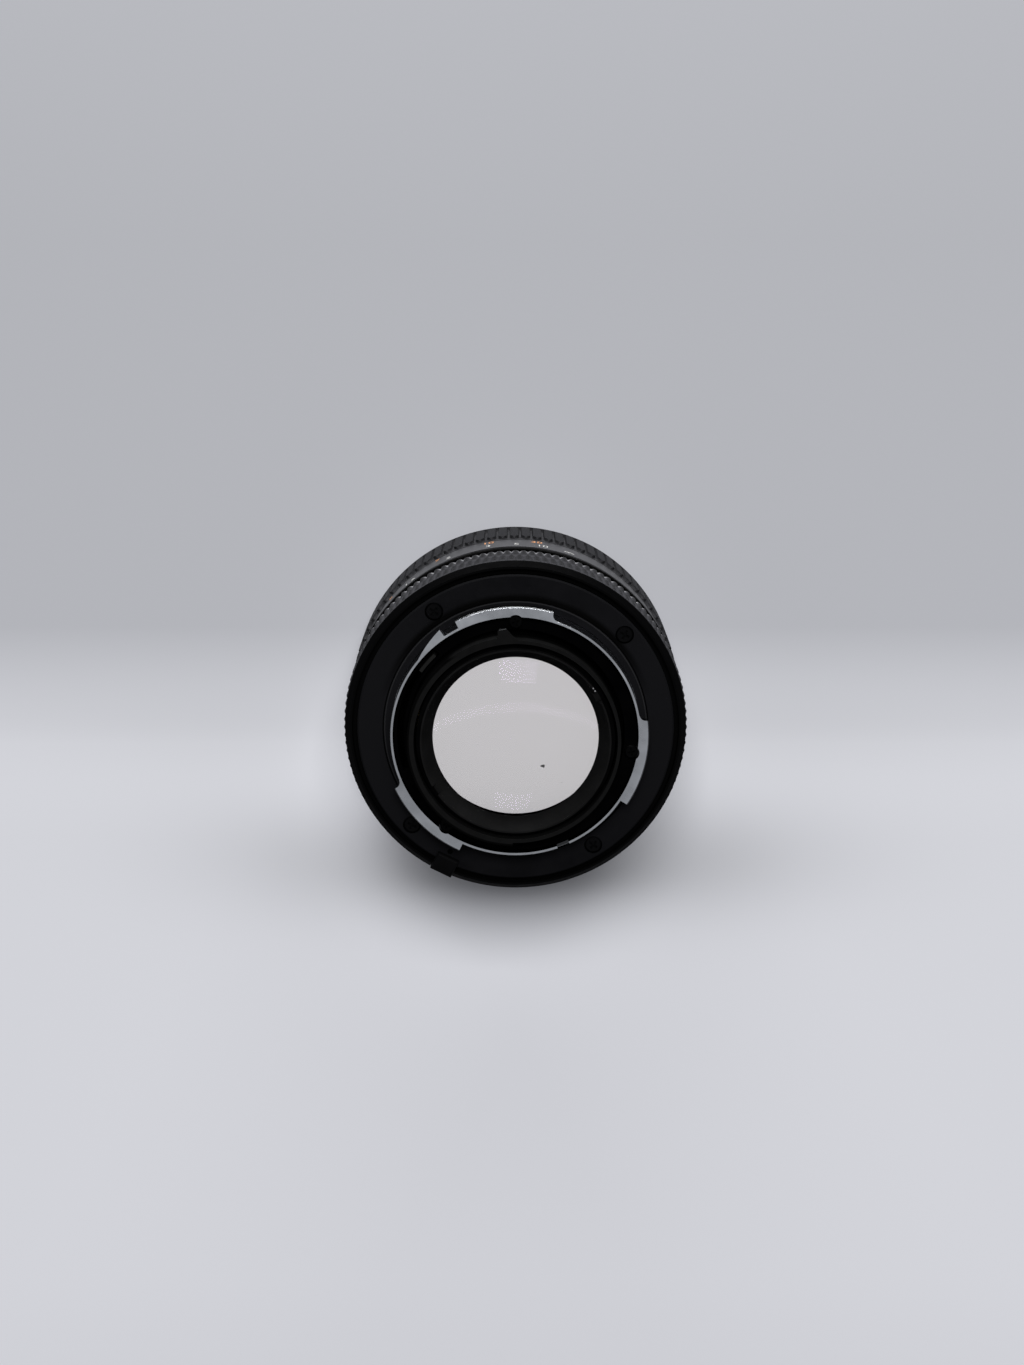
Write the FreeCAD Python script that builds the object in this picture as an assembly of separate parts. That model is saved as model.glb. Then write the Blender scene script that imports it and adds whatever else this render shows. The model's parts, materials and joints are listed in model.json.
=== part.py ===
import FreeCAD, Part
import math
import os

# Standard lens for a 35 mm single lens reflex camera, standing on its front rim.
# Millimetres. The optical axis is Z, the front rim is at zero and the mount is at the top.
# Angles are seen from the mount: 0 is +X and 90 is +Y.

os.makedirs("parts", exist_ok=True)

TURN = 360.0
ORIGIN = FreeCAD.Vector(0, 0, 0)
Z_AXIS = FreeCAD.Vector(0, 0, 1)
CLEAR = 0.3          # free gap between parts that move past one another
OVERCUT = 1.0        # how far a cutting shape runs past the face it opens
EDGE_BREAK = 0.2     # small bevel on the edges of the rings

# Outside of the lens
LENS_R = 31.0        # crests of the aperture ring
PLATE_FACE_Z = 39.5  # register face that meets the camera
PLATE_R = 28.44
PLATE_THICK = 1.5
SEAT_Z = PLATE_FACE_Z - PLATE_THICK
BAYONET_TOP_Z = PLATE_FACE_Z + 4.5

# Optical unit, which slides forward to focus
FRONT_RING_R = 27.8
FILTER_R = 26.0      # 52 mm filter thread
RIM_BEVEL = 0.4
THREAD_END_Z = 5.0
NAME_SEAT_R = 25.7   # bore behind the thread, where the name ring sits
NAME_SEAT_Z = 8.5
FRONT_RING_LENGTH = 11.5
UNIT_R = 25.0        # outside of the sliding barrel
CELL_R = 23.9        # bore of the sliding barrel
UNIT_END_Z = SEAT_Z - 6.0
LIP_END_Z = NAME_SEAT_Z + 5.5
LIP_R = 22.4

# Glass: vertex places along the axis, curve radii and edge radii
GLASS_1_Z = NAME_SEAT_Z - 1.1
GLASS_2_Z = GLASS_1_Z + 4.65
GLASS_3_Z = GLASS_1_Z + 10.05
GLASS_4_Z = GLASS_1_Z + 25.75
GLASS_5_Z = GLASS_1_Z + 27.15
GLASS_6_Z = GLASS_1_Z + 34.3
GLASS_1_R = 16.8
GLASS_2_R = 14.6
GLASS_4_R = 14.2
GLASS_6_R = 15.8
CURVE_1 = 28.0
CURVE_2 = 80.0
CURVE_3 = 19.5
CURVE_4 = 60.0
CURVE_5 = 15.5
CURVE_7 = -17.0
CURVE_8 = 150.0
CURVE_9 = -20.5
CURVE_10 = 120.0
CURVE_11 = -34.0
GLASS_1_THICK = 4.4
GLASS_3_THICK = 1.3
GLASS_5_THICK = 6.9
GLASS_6_THICK = 5.5
DISH_FRONT_R = 11.3  # rim of the hollow behind the third element
DISH_REAR_R = 11.5   # rim of the hollow before the fourth element

# Iris
BLADES = 6
BLADE_THICK = 0.2
BLADE_STEP = 0.5
IRIS_FLOOR_THICK = 0.7
IRIS_R = 22.8        # cavity for the blades
IRIS_OPEN_R = 11.9
BLADE_INNER_R = 12.4
BLADE_OUTER_R = 19.2
BLADE_SPAN = 148.0
PIVOT_R = 20.6
PIVOT_PIN_R = 0.4
DRIVE_PIN_OFFSET = 2.6
BLADE_CLOSE_DEG = 36.0
LEVER_SWING_DEG = 24.0
DRIVE_RING_THICK = 0.8
DRIVE_RING_OUTER_R = 22.5
PIN_CLEAR = 0.05

# Focusing ring
FOCUS_FRONT_Z = 5.6
SKIRT_R = 30.6
SKIRT_BORE_R = 29.2
SKIRT_BEVEL = 0.3
SKIRT_END_Z = 24.8
WEB_Z = FRONT_RING_LENGTH + 0.5
WEB_THICK = 1.5
SLEEVE_R = 26.9
SLEEVE_BORE_R = 25.3
GRIP_FRONT_Z = 6.5
GRIP_END_Z = 16.9
GRIP_SEAT_R = 29.9
GRIP_R = 31.3
GRIP_PADS = 90
GRIP_GROOVE_R = 30.7
GRIP_GROOVE_WIDTH = 0.42
GRIP_RIM = 0.9       # smooth band before the pads
GRIP_BEVEL = 0.35
PAD_END_LENGTH = 1.5  # how far the rounded end of a pad reaches

# Fixed barrel
BARREL_FRONT_Z = WEB_Z + WEB_THICK + 0.7
BARREL_R = 28.9
BARREL_BORE_R = 27.2
BARREL_REAR_R = 28.3
BARREL_NECK_R = 27.6
BARREL_NECK_Z = SEAT_Z - 2.0
BARREL_WALL_Z = SEAT_Z - 4.4
INDEX_FRONT_Z = SKIRT_END_Z + 0.35
INDEX_END_Z = INDEX_FRONT_Z + 1.75
INDEX_R = 30.9
KEY_WIDTH = 3.0
KEY_CLEAR = 0.1
KEY_TIP_Z = UNIT_END_Z - 9.5
KEY_ANGLES = (60.0, 300.0)

# Aperture ring
APERTURE_FRONT_Z = INDEX_END_Z + 0.5
KNURL_START_Z = APERTURE_FRONT_Z + 1.6
KNURL_END_Z = PLATE_FACE_Z - 1.3
APERTURE_END_Z = PLATE_FACE_Z - 0.3
APERTURE_BORE_R = BARREL_REAR_R + CLEAR
APERTURE_LIP_R = BARREL_NECK_R + CLEAR
APERTURE_COLLAR_R = 29.8  # floor of the groove behind the index ring
APERTURE_FLANK_R = 29.8
APERTURE_EYE_R = APERTURE_FLANK_R - 0.4
APERTURE_TURN_DEG = 52.0
CLICK_STOPS = 8
KNURL_TEETH = 130
KNURL_ROOT_R = 30.5
KNURL_BEVEL = 0.9
LUG_ANGLE = 243.0
LUG_WIDTH = 4.2
LUG_IN_R = 26.8
LUG_TOP_Z = PLATE_FACE_Z + 1.3
TAB_ANGLE = 139.1
TAB_SPAN = 11.0
TAB_IN_R = 20.2
TAB_OUT_R = 20.8

# Bayonet
TUBE_IN_R = 21.7
TUBE_OUT_R = 22.25
WING_R = 23.65
WING_THICK = 1.6
PLATE_EYE_R = 23.9
BAFFLE_SCREW_R = 20.8
BAFFLE_SCREW_ANGLES = (90.0, -8.0, 233.5)
MOUNT_SCREW_R = 26.1
MOUNT_SCREW_ANGLES = (42.3, 123.5, 223.7, 303.0)

# Stop-down lever ring
LEVER_IN_R = 17.9
LEVER_OUT_R = 19.1
LEVER_TOP_Z = PLATE_FACE_Z + 8.2
LEVER_FOOT_Z = SEAT_Z - 1.8
REAR_CELL_R = 17.5
FORK_ANGLE = 170.0
BAR_WIDTH = 2.4


def point(r, z):
    return FreeCAD.Vector(r, 0, z)


def polar(angle, r, z=0.0):
    a = math.radians(angle)
    return FreeCAD.Vector(r * math.cos(a), r * math.sin(a), z)


def turned(profile, start=0.0, sweep=TURN):
    """Solid of revolution about the optical axis from (radius, z) corners."""
    corners = [point(r, z) for r, z in profile]
    face = Part.Face(Part.makePolygon(corners + [corners[0]]))
    solid = face.revolve(ORIGIN, Z_AXIS, sweep)
    solid.rotate(ORIGIN, Z_AXIS, start)
    return solid


def tube(r_in, r_out, z0, z1, start=0.0, sweep=TURN):
    return turned([(r_in, z0), (r_out, z0), (r_out, z1), (r_in, z1)], start, sweep)


def block(angle, r0, r1, width, z0, z1):
    """Box standing out along a radius."""
    shape = Part.makeBox(r1 - r0, width, z1 - z0, FreeCAD.Vector(r0, -width / 2, z0))
    shape.rotate(ORIGIN, Z_AXIS, angle)
    return shape


def post(angle, r, radius, z0, z1):
    return Part.makeCylinder(radius, z1 - z0, polar(angle, r, z0), Z_AXIS)


def radial_pin(angle, r0, r1, radius, z):
    return Part.makeCylinder(radius, r1 - r0, polar(angle, r0, z), polar(angle, 1))


def prism(corners, z0, z1):
    """Upright solid over a flat outline of (x, y) corners."""
    points = [FreeCAD.Vector(x, y, z0) for x, y in corners]
    return Part.Face(Part.makePolygon(points + [points[0]])).extrude(FreeCAD.Vector(0, 0, z1 - z0))


def save(node, shape):
    shape.exportStep("parts/" + node + ".step")


def group(shapes):
    return Part.makeCompound(shapes)


def sag(curve, r):
    """Depth of a spherical surface at radius r, positive towards the mount."""
    if curve is None:
        return 0.0
    depth = abs(curve) - math.sqrt(curve * curve - r * r)
    return math.copysign(depth, curve)


def surface_z(vertex, curve, r):
    return vertex + sag(curve, r)


def surface_edge(vertex, curve, r_in, r_out):
    start = point(r_in, surface_z(vertex, curve, r_in))
    end = point(r_out, surface_z(vertex, curve, r_out))
    r_mid = (r_in + r_out) / 2
    middle = point(r_mid, surface_z(vertex, curve, r_mid))
    return Part.Arc(start, middle, end).toShape()


def element(front_z, front_curve, rear_z, rear_curve, edge_r, front_dish_r=None, rear_dish_r=None):
    """Glass element; a dish radius leaves a flat land round a hollow face."""
    front_r = front_dish_r or edge_r
    rear_r = rear_dish_r or edge_r
    edges = [surface_edge(front_z, front_curve, 0, front_r)]
    front_rim = point(front_r, surface_z(front_z, front_curve, front_r))
    rear_rim = point(rear_r, surface_z(rear_z, rear_curve, rear_r))
    front_corner = point(edge_r, front_rim.z)
    rear_corner = point(edge_r, rear_rim.z)
    if front_dish_r:
        edges.append(Part.makeLine(front_rim, front_corner))
    edges.append(Part.makeLine(front_corner, rear_corner))
    if rear_dish_r:
        edges.append(Part.makeLine(rear_corner, rear_rim))
    edges.append(surface_edge(rear_z, rear_curve, 0, rear_r))
    edges.append(Part.makeLine(point(0, rear_z), point(0, front_z)))
    wire = Part.Wire(Part.__sortEdges__(edges))
    return Part.Face(wire).revolve(ORIGIN, Z_AXIS, TURN)


def screw(angle, r, head_r, head_thick, shank_r, shank_length, seat_z):
    """Cross-head screw with its head bearing on seat_z and its tip towards the front."""
    head = post(angle, r, head_r, seat_z, seat_z + head_thick)
    rim = [edge for edge in head.Edges if edge.BoundBox.ZMin > seat_z + head_thick / 2]
    head = head.makeChamfer(head_thick * 0.25, rim)
    shank = post(angle, r, shank_r, seat_z - shank_length, seat_z)
    slot_length = head_r * 1.15
    slot_width = head_r * 0.26
    slot_depth = head_thick * 0.6
    top = seat_z + head_thick
    body = head.fuse(shank)
    for half_turn in (0.0, 90.0):
        slot = Part.makeBox(slot_length, slot_width, slot_depth + OVERCUT,
                            FreeCAD.Vector(-slot_length / 2, -slot_width / 2, top - slot_depth))
        slot.rotate(ORIGIN, Z_AXIS, angle + half_turn + 20.0)
        slot.translate(polar(angle, r))
        body = body.cut(slot)
    return body


# Front ring with the filter thread
front_ring = turned([
    (FILTER_R, RIM_BEVEL), (FILTER_R + RIM_BEVEL, 0), (FRONT_RING_R - RIM_BEVEL, 0),
    (FRONT_RING_R, RIM_BEVEL), (FRONT_RING_R, FRONT_RING_LENGTH), (UNIT_R, FRONT_RING_LENGTH),
    (UNIT_R, NAME_SEAT_Z), (NAME_SEAT_R, NAME_SEAT_Z), (NAME_SEAT_R, THREAD_END_Z), (FILTER_R, THREAD_END_Z),
])
save("front_ring", front_ring)

# Sliding barrel with its two key slots
optical_barrel = turned([
    (LIP_R, NAME_SEAT_Z), (UNIT_R, NAME_SEAT_Z), (UNIT_R, UNIT_END_Z), (CELL_R, UNIT_END_Z),
    (CELL_R, LIP_END_Z), (LIP_R, LIP_END_Z),
])
for angle in KEY_ANGLES:
    optical_barrel = optical_barrel.cut(
        block(angle, CELL_R - OVERCUT, UNIT_R + OVERCUT, KEY_WIDTH + 2 * KEY_CLEAR, KEY_TIP_Z - OVERCUT,
              UNIT_END_Z + OVERCUT))
save("optical_barrel", optical_barrel)

# Plain name ring round the front glass
NAME_RING_R = NAME_SEAT_R - 0.1
NAME_RING_THICK = 1.5
NAME_RING_EYE_R = 16.5
name_ring_front_z = NAME_SEAT_Z - NAME_RING_THICK
name_ring_back_z = surface_z(GLASS_1_Z, CURVE_1, NAME_RING_EYE_R)
name_ring = turned([
    (NAME_RING_EYE_R, name_ring_back_z - 0.8), (NAME_RING_R - 1.0, name_ring_front_z),
    (NAME_RING_R, name_ring_front_z), (NAME_RING_R, NAME_SEAT_Z), (LIP_R, NAME_SEAT_Z),
    (GLASS_1_R + 0.2, name_ring_back_z - 0.1), (NAME_RING_EYE_R, name_ring_back_z),
])
save("name_ring", name_ring)

# Front cell that carries the three front elements
front_glass_edge_z = surface_z(GLASS_1_Z + GLASS_1_THICK, CURVE_2, GLASS_1_R)
second_seat_z = surface_z(GLASS_2_Z, CURVE_3, GLASS_2_R)
iris_floor_z = surface_z(GLASS_3_Z + GLASS_3_THICK, CURVE_5, DISH_FRONT_R)
SEAT_LIP_R = GLASS_2_R - 0.7
front_cell = turned([
    (GLASS_1_R, name_ring_back_z + 0.2), (LIP_R, NAME_SEAT_Z + 1.1), (LIP_R, LIP_END_Z), (CELL_R, LIP_END_Z),
    (CELL_R, iris_floor_z), (GLASS_2_R, iris_floor_z), (GLASS_2_R, second_seat_z),
    (SEAT_LIP_R, surface_z(GLASS_2_Z, CURVE_3, SEAT_LIP_R)), (SEAT_LIP_R, front_glass_edge_z),
    (GLASS_1_R, front_glass_edge_z),
])
save("front_cell", front_cell)

# The six elements of the double Gauss objective
glass_2_rear_z = GLASS_3_Z
glass_3_rear_z = GLASS_3_Z + GLASS_3_THICK
glass_5_rear_z = GLASS_5_Z + GLASS_5_THICK
glass_6_rear_z = GLASS_6_Z + GLASS_6_THICK
save("front_glass", element(GLASS_1_Z, CURVE_1, GLASS_1_Z + GLASS_1_THICK, CURVE_2, GLASS_1_R))
save("second_glass", element(GLASS_2_Z, CURVE_3, glass_2_rear_z, CURVE_4, GLASS_2_R))
save("third_glass", element(GLASS_3_Z, CURVE_4, glass_3_rear_z, CURVE_5, GLASS_2_R, None, DISH_FRONT_R))
save("fourth_glass", element(GLASS_4_Z, CURVE_7, GLASS_5_Z, CURVE_8, GLASS_4_R, DISH_REAR_R, None))
save("fifth_glass", element(GLASS_5_Z, CURVE_8, glass_5_rear_z, CURVE_9, GLASS_4_R))
save("rear_glass", element(GLASS_6_Z, CURVE_10, glass_6_rear_z, CURVE_11, GLASS_6_R))

# Levels in the iris: floor, blades, drive ring and the end of the wall
iris_floor_top_z = iris_floor_z + IRIS_FLOOR_THICK


def blade_angle(index):
    return index * TURN / BLADES


def blade_z(index):
    return iris_floor_top_z + CLEAR + index * BLADE_STEP


drive_ring_z = blade_z(BLADES - 1) + BLADE_THICK + CLEAR
drive_ring_top_z = drive_ring_z + DRIVE_RING_THICK
iris_wall_top_z = drive_ring_top_z + CLEAR

# Iris housing: a floor with the blade pivots and an outer wall
iris_housing = turned([
    (IRIS_OPEN_R, iris_floor_z), (CELL_R, iris_floor_z), (CELL_R, iris_wall_top_z),
    (IRIS_R, iris_wall_top_z), (IRIS_R, iris_floor_top_z), (IRIS_OPEN_R, iris_floor_top_z),
])
pivot_hole_r = PIVOT_PIN_R + PIN_CLEAR
for index in range(BLADES):
    iris_housing = iris_housing.cut(
        post(blade_angle(index), PIVOT_R, pivot_hole_r, iris_floor_z - OVERCUT, iris_floor_top_z + OVERCUT))
save("iris_housing", iris_housing)

# Iris blades, one to each level, with a pivot pin below and a drive pin above
half_close = BLADE_CLOSE_DEG / 2
PIVOT_LOBE_R = 1.05
DRIVE_LOBE_R = 0.8
ROOT_START_DEG = 4.0
ROOT_END_DEG = 12.0
ROOT_IN_R = BLADE_OUTER_R - 3.0


def drive_pin_place(close_deg):
    """Place of the drive pin about the axis, for the blade whose pivot is at angle 0."""
    a = math.radians(close_deg - half_close - 90.0)
    return PIVOT_R + DRIVE_PIN_OFFSET * math.cos(a), DRIVE_PIN_OFFSET * math.sin(a)


def make_blade(index):
    z0 = blade_z(index)
    z1 = z0 + BLADE_THICK
    leaf = tube(BLADE_INNER_R, BLADE_OUTER_R, z0, z1, ROOT_START_DEG, BLADE_SPAN - ROOT_START_DEG)
    tip = post(BLADE_SPAN, (BLADE_INNER_R + BLADE_OUTER_R) / 2, (BLADE_OUTER_R - BLADE_INNER_R) / 2, z0, z1)
    root = prism([
        (PIVOT_R, -PIVOT_LOBE_R), (PIVOT_R + PIVOT_LOBE_R * 0.7, PIVOT_LOBE_R * 0.7),
        polar(ROOT_END_DEG - 3.0, BLADE_OUTER_R)[:2], polar(ROOT_END_DEG, ROOT_IN_R)[:2],
        polar(ROOT_START_DEG, ROOT_IN_R)[:2],
    ], z0, z1)
    pin_x, pin_y = drive_pin_place(0.0)
    tail = Part.makeBox(DRIVE_PIN_OFFSET, DRIVE_LOBE_R * 2, BLADE_THICK, FreeCAD.Vector(0, -DRIVE_LOBE_R, z0))
    tail.rotate(ORIGIN, Z_AXIS, math.degrees(math.atan2(pin_y, pin_x - PIVOT_R)))
    tail.translate(FreeCAD.Vector(PIVOT_R, 0, 0))
    lobes = [
        post(0.0, PIVOT_R, PIVOT_LOBE_R, z0, z1),
        Part.makeCylinder(DRIVE_LOBE_R, BLADE_THICK, FreeCAD.Vector(pin_x, pin_y, z0), Z_AXIS),
    ]
    pins = [
        post(0.0, PIVOT_R, PIVOT_PIN_R, iris_floor_z + PIN_CLEAR, z1),
        Part.makeCylinder(PIVOT_PIN_R, drive_ring_top_z - z0, FreeCAD.Vector(pin_x, pin_y, z0), Z_AXIS),
    ]
    blade = leaf.fuse([tip, root, tail] + lobes + pins).removeSplitter()
    blade.rotate(ORIGIN, Z_AXIS, blade_angle(index))
    return blade


for index in range(BLADES):
    save("iris_blade_" + str(index + 1), make_blade(index))

# Iris drive ring: slots that turn its swing into the swing of the blades, and a fork for the lever
SLOT_STEPS = 8
slot_r = PIVOT_PIN_R + PIN_CLEAR
FORK_TOP_Z = LEVER_FOOT_Z - CLEAR
FORK_POST_WIDTH = 1.2
DRIVE_RING_IN_R = LEVER_IN_R - 0.1


def slot_path():
    """Path of the drive pin over the turning ring."""
    path = []
    for step in range(SLOT_STEPS + 1):
        share = step / SLOT_STEPS
        x, y = drive_pin_place(BLADE_CLOSE_DEG * share)
        turn = math.radians(-LEVER_SWING_DEG * share)
        path.append((x * math.cos(turn) - y * math.sin(turn), x * math.sin(turn) + y * math.cos(turn)))
    return path


def make_slot(z0, z1):
    path = slot_path()
    left = []
    right = []
    for step, (x, y) in enumerate(path):
        before = path[max(step - 1, 0)]
        after = path[min(step + 1, len(path) - 1)]
        length = math.hypot(after[0] - before[0], after[1] - before[1])
        nx = -(after[1] - before[1]) / length * slot_r
        ny = (after[0] - before[0]) / length * slot_r
        left.append((x + nx, y + ny))
        right.append((x - nx, y - ny))
    slot = prism(left + right[::-1], z0, z1)
    for x, y in (path[0], path[-1]):
        slot = slot.fuse(Part.makeCylinder(slot_r, z1 - z0, FreeCAD.Vector(x, y, z0), Z_AXIS))
    return slot


iris_drive_ring = tube(DRIVE_RING_IN_R, DRIVE_RING_OUTER_R, drive_ring_z, drive_ring_top_z)
drive_slot = make_slot(drive_ring_z - OVERCUT, drive_ring_top_z + OVERCUT)
for index in range(BLADES):
    cutter = drive_slot.copy()
    cutter.rotate(ORIGIN, Z_AXIS, blade_angle(index))
    iris_drive_ring = iris_drive_ring.cut(cutter)
fork_gap_half = BAR_WIDTH / 2 + PIN_CLEAR
iris_drive_ring = iris_drive_ring.cut(
    block(FORK_ANGLE, DRIVE_RING_IN_R - OVERCUT, LEVER_OUT_R + 0.2, fork_gap_half * 2,
          drive_ring_z - OVERCUT, drive_ring_top_z + OVERCUT))
for side in (-1, 1):
    jaw_middle = side * (fork_gap_half + FORK_POST_WIDTH / 2)
    jaw = Part.makeBox(LEVER_OUT_R - LEVER_IN_R, FORK_POST_WIDTH, FORK_TOP_Z - drive_ring_z,
                       FreeCAD.Vector(LEVER_IN_R, jaw_middle - FORK_POST_WIDTH / 2, drive_ring_z))
    jaw.rotate(ORIGIN, Z_AXIS, FORK_ANGLE)
    iris_drive_ring = iris_drive_ring.fuse(jaw)
save("iris_drive_ring", iris_drive_ring)

# Rear cell with the flange that closes the iris, open where the fork passes
FLANGE_THICK = 1.2
REAR_CELL_END_Z = GLASS_6_Z + 4.5
REAR_LIP_R = 12.6
REAR_LIP_THICK = 0.6
REAR_RING_R = 16.8
flange_top_z = iris_wall_top_z + FLANGE_THICK
rear_seat_z = surface_z(GLASS_4_Z, CURVE_7, DISH_REAR_R)
rear_lip_z = rear_seat_z - REAR_LIP_THICK
rear_step_z = surface_z(GLASS_5_Z + GLASS_5_THICK, CURVE_9, GLASS_4_R) + 0.5
rear_glass_edge_z = surface_z(glass_6_rear_z, CURVE_11, GLASS_6_R)
rear_cell = turned([
    (REAR_LIP_R, rear_lip_z), (REAR_CELL_R, rear_lip_z), (REAR_CELL_R, iris_wall_top_z),
    (CELL_R, iris_wall_top_z), (CELL_R, flange_top_z), (REAR_CELL_R, flange_top_z),
    (REAR_CELL_R, REAR_CELL_END_Z), (REAR_RING_R, REAR_CELL_END_Z), (REAR_RING_R, rear_glass_edge_z),
    (GLASS_6_R, rear_glass_edge_z), (GLASS_6_R, rear_step_z), (GLASS_4_R, rear_step_z),
    (GLASS_4_R, rear_seat_z), (REAR_LIP_R, rear_seat_z),
])
FORK_HALF_DEG = 12.0
rear_cell = rear_cell.cut(
    tube(REAR_CELL_R + 0.1, LEVER_OUT_R + 0.4, iris_wall_top_z - OVERCUT, flange_top_z + OVERCUT,
         FORK_ANGLE - FORK_HALF_DEG, LEVER_SWING_DEG + 2 * FORK_HALF_DEG))
save("rear_cell", rear_cell)

# Clamp ring that holds the whole stack in the sliding barrel
CLAMP_BORE_R = 22.0
CLAMP_NOTCH_ANGLES = (15.0, 195.0)
NOTCH_WIDTH = 1.2
NOTCH_DEPTH = 0.8
clamp_ring = tube(CLAMP_BORE_R, CELL_R, flange_top_z, UNIT_END_Z)
for angle in CLAMP_NOTCH_ANGLES:
    clamp_ring = clamp_ring.cut(
        block(angle, CLAMP_BORE_R - OVERCUT, CELL_R + OVERCUT, NOTCH_WIDTH, UNIT_END_Z - NOTCH_DEPTH,
              UNIT_END_Z + OVERCUT))
save("clamp_ring", clamp_ring)

# Spacer between the rear elements
spacer_lip_r = GLASS_4_R - 0.3
spacer_foot_z = surface_z(glass_5_rear_z, CURVE_9, GLASS_4_R)
rear_spacer = turned([
    (spacer_lip_r, surface_z(glass_5_rear_z, CURVE_9, spacer_lip_r)), (GLASS_4_R, spacer_foot_z),
    (GLASS_4_R, rear_step_z), (GLASS_6_R, rear_step_z),
    (GLASS_6_R, surface_z(GLASS_6_Z, CURVE_10, GLASS_6_R)),
    (GLASS_6_R - 0.8, surface_z(GLASS_6_Z, CURVE_10, GLASS_6_R - 0.8)),
    (GLASS_6_R - 0.8, rear_step_z + 1.0), (spacer_lip_r, rear_step_z + 0.6),
])
save("rear_spacer", rear_spacer)

# Black conical ring round the rear glass with two spanner notches
REAR_EYE_R = 14.7
REAR_RING_TOP_Z = REAR_CELL_END_Z + 1.2
SPANNER_ANGLES = (30.5, 212.0)
SPANNER_WIDTH = 2.0
rear_retaining_ring = turned([
    (REAR_EYE_R, surface_z(glass_6_rear_z, CURVE_11, REAR_EYE_R)), (GLASS_6_R, rear_glass_edge_z),
    (REAR_RING_R, rear_glass_edge_z), (REAR_RING_R, REAR_RING_TOP_Z), (REAR_RING_R - 0.3, REAR_RING_TOP_Z),
    (REAR_EYE_R, surface_z(glass_6_rear_z, CURVE_11, REAR_EYE_R) + 0.25),
])
for angle in SPANNER_ANGLES:
    rear_retaining_ring = rear_retaining_ring.cut(
        block(angle, REAR_RING_R - 1.0, REAR_RING_R + OVERCUT, SPANNER_WIDTH, REAR_CELL_END_Z,
              REAR_RING_TOP_Z + OVERCUT))
save("rear_retaining_ring", rear_retaining_ring)

# Focusing ring: scale skirt, grip seat and the web that joins it to the helicoid sleeve
focus_bore_front_r = FRONT_RING_R + CLEAR
web_end_z = WEB_Z + WEB_THICK
focus_ring = turned([
    (focus_bore_front_r, FOCUS_FRONT_Z), (SKIRT_R - SKIRT_BEVEL, FOCUS_FRONT_Z),
    (SKIRT_R, FOCUS_FRONT_Z + SKIRT_BEVEL),
    (SKIRT_R, GRIP_FRONT_Z), (GRIP_SEAT_R, GRIP_FRONT_Z), (GRIP_SEAT_R, GRIP_END_Z),
    (SKIRT_R, GRIP_END_Z), (SKIRT_R, SKIRT_END_Z - SKIRT_BEVEL), (SKIRT_R - SKIRT_BEVEL, SKIRT_END_Z),
    (SKIRT_BORE_R, SKIRT_END_Z), (SKIRT_BORE_R, web_end_z), (SLEEVE_BORE_R, web_end_z),
    (SLEEVE_BORE_R, WEB_Z), (focus_bore_front_r, WEB_Z),
])
FOCUS_SCREW_R = 26.1
FOCUS_SCREW_ANGLES = (30.0, 150.0, 270.0)
FOCUS_HEAD_R = 0.9
FOCUS_HEAD_THICK = 0.6
FOCUS_SHANK_R = 0.5
FOCUS_SHANK_REACH = 2.3
FOCUS_SLOT = 0.3
focus_screw_seat_z = WEB_Z + 0.7
for angle in FOCUS_SCREW_ANGLES:
    focus_ring = focus_ring.cut(
        post(angle, FOCUS_SCREW_R, FOCUS_HEAD_R + 0.1, WEB_Z - OVERCUT, focus_screw_seat_z))
    focus_ring = focus_ring.cut(
        post(angle, FOCUS_SCREW_R, FOCUS_SHANK_R, WEB_Z - OVERCUT, web_end_z + OVERCUT))
save("focus_ring", focus_ring)

# Helicoid sleeve on the focusing ring
sleeve_end_z = UNIT_END_Z
focus_sleeve = tube(SLEEVE_BORE_R, SLEEVE_R, web_end_z, sleeve_end_z)
for angle in FOCUS_SCREW_ANGLES:
    focus_sleeve = focus_sleeve.cut(
        post(angle, FOCUS_SCREW_R, FOCUS_SHANK_R, web_end_z - OVERCUT, web_end_z + FOCUS_SHANK_REACH + 0.2))
save("focus_sleeve", focus_sleeve)


def focus_screw(angle):
    head_z = focus_screw_seat_z - FOCUS_HEAD_THICK
    head = post(angle, FOCUS_SCREW_R, FOCUS_HEAD_R, head_z, focus_screw_seat_z)
    shank = post(angle, FOCUS_SCREW_R, FOCUS_SHANK_R, focus_screw_seat_z, web_end_z + FOCUS_SHANK_REACH)
    slot = Part.makeBox(FOCUS_HEAD_R * 2, FOCUS_SLOT, FOCUS_SLOT,
                        FreeCAD.Vector(-FOCUS_HEAD_R, -FOCUS_SLOT / 2, head_z))
    slot.translate(polar(angle, FOCUS_SCREW_R))
    return head.fuse(shank).cut(slot)


save("focus_ring_screws", group([focus_screw(angle) for angle in FOCUS_SCREW_ANGLES]))


def toothed(outline_at, teeth, phase=0.0):
    """Corners of a closed outline made of equal teeth; outline_at gives (share of pitch, radius) pairs."""
    pitch = TURN / teeth
    corners = []
    for tooth in range(teeth):
        for share, r in outline_at:
            spot = polar((tooth + share + phase) * pitch, r)
            corners.append((spot.x, spot.y))
    return corners


def bevelled_band(corners, r_seat, r_crest, z0, z1, bevel, drop):
    """Toothed band over a round seat whose ends fall away by a bevel."""
    band = prism(corners, z0, z1)
    envelope = turned([
        (r_seat, z0), (r_crest - drop, z0), (r_crest + 0.01, z0 + bevel), (r_crest + 0.01, z1 - bevel),
        (r_crest - drop, z1), (r_seat, z1),
    ])
    return band.common(envelope)


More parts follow.
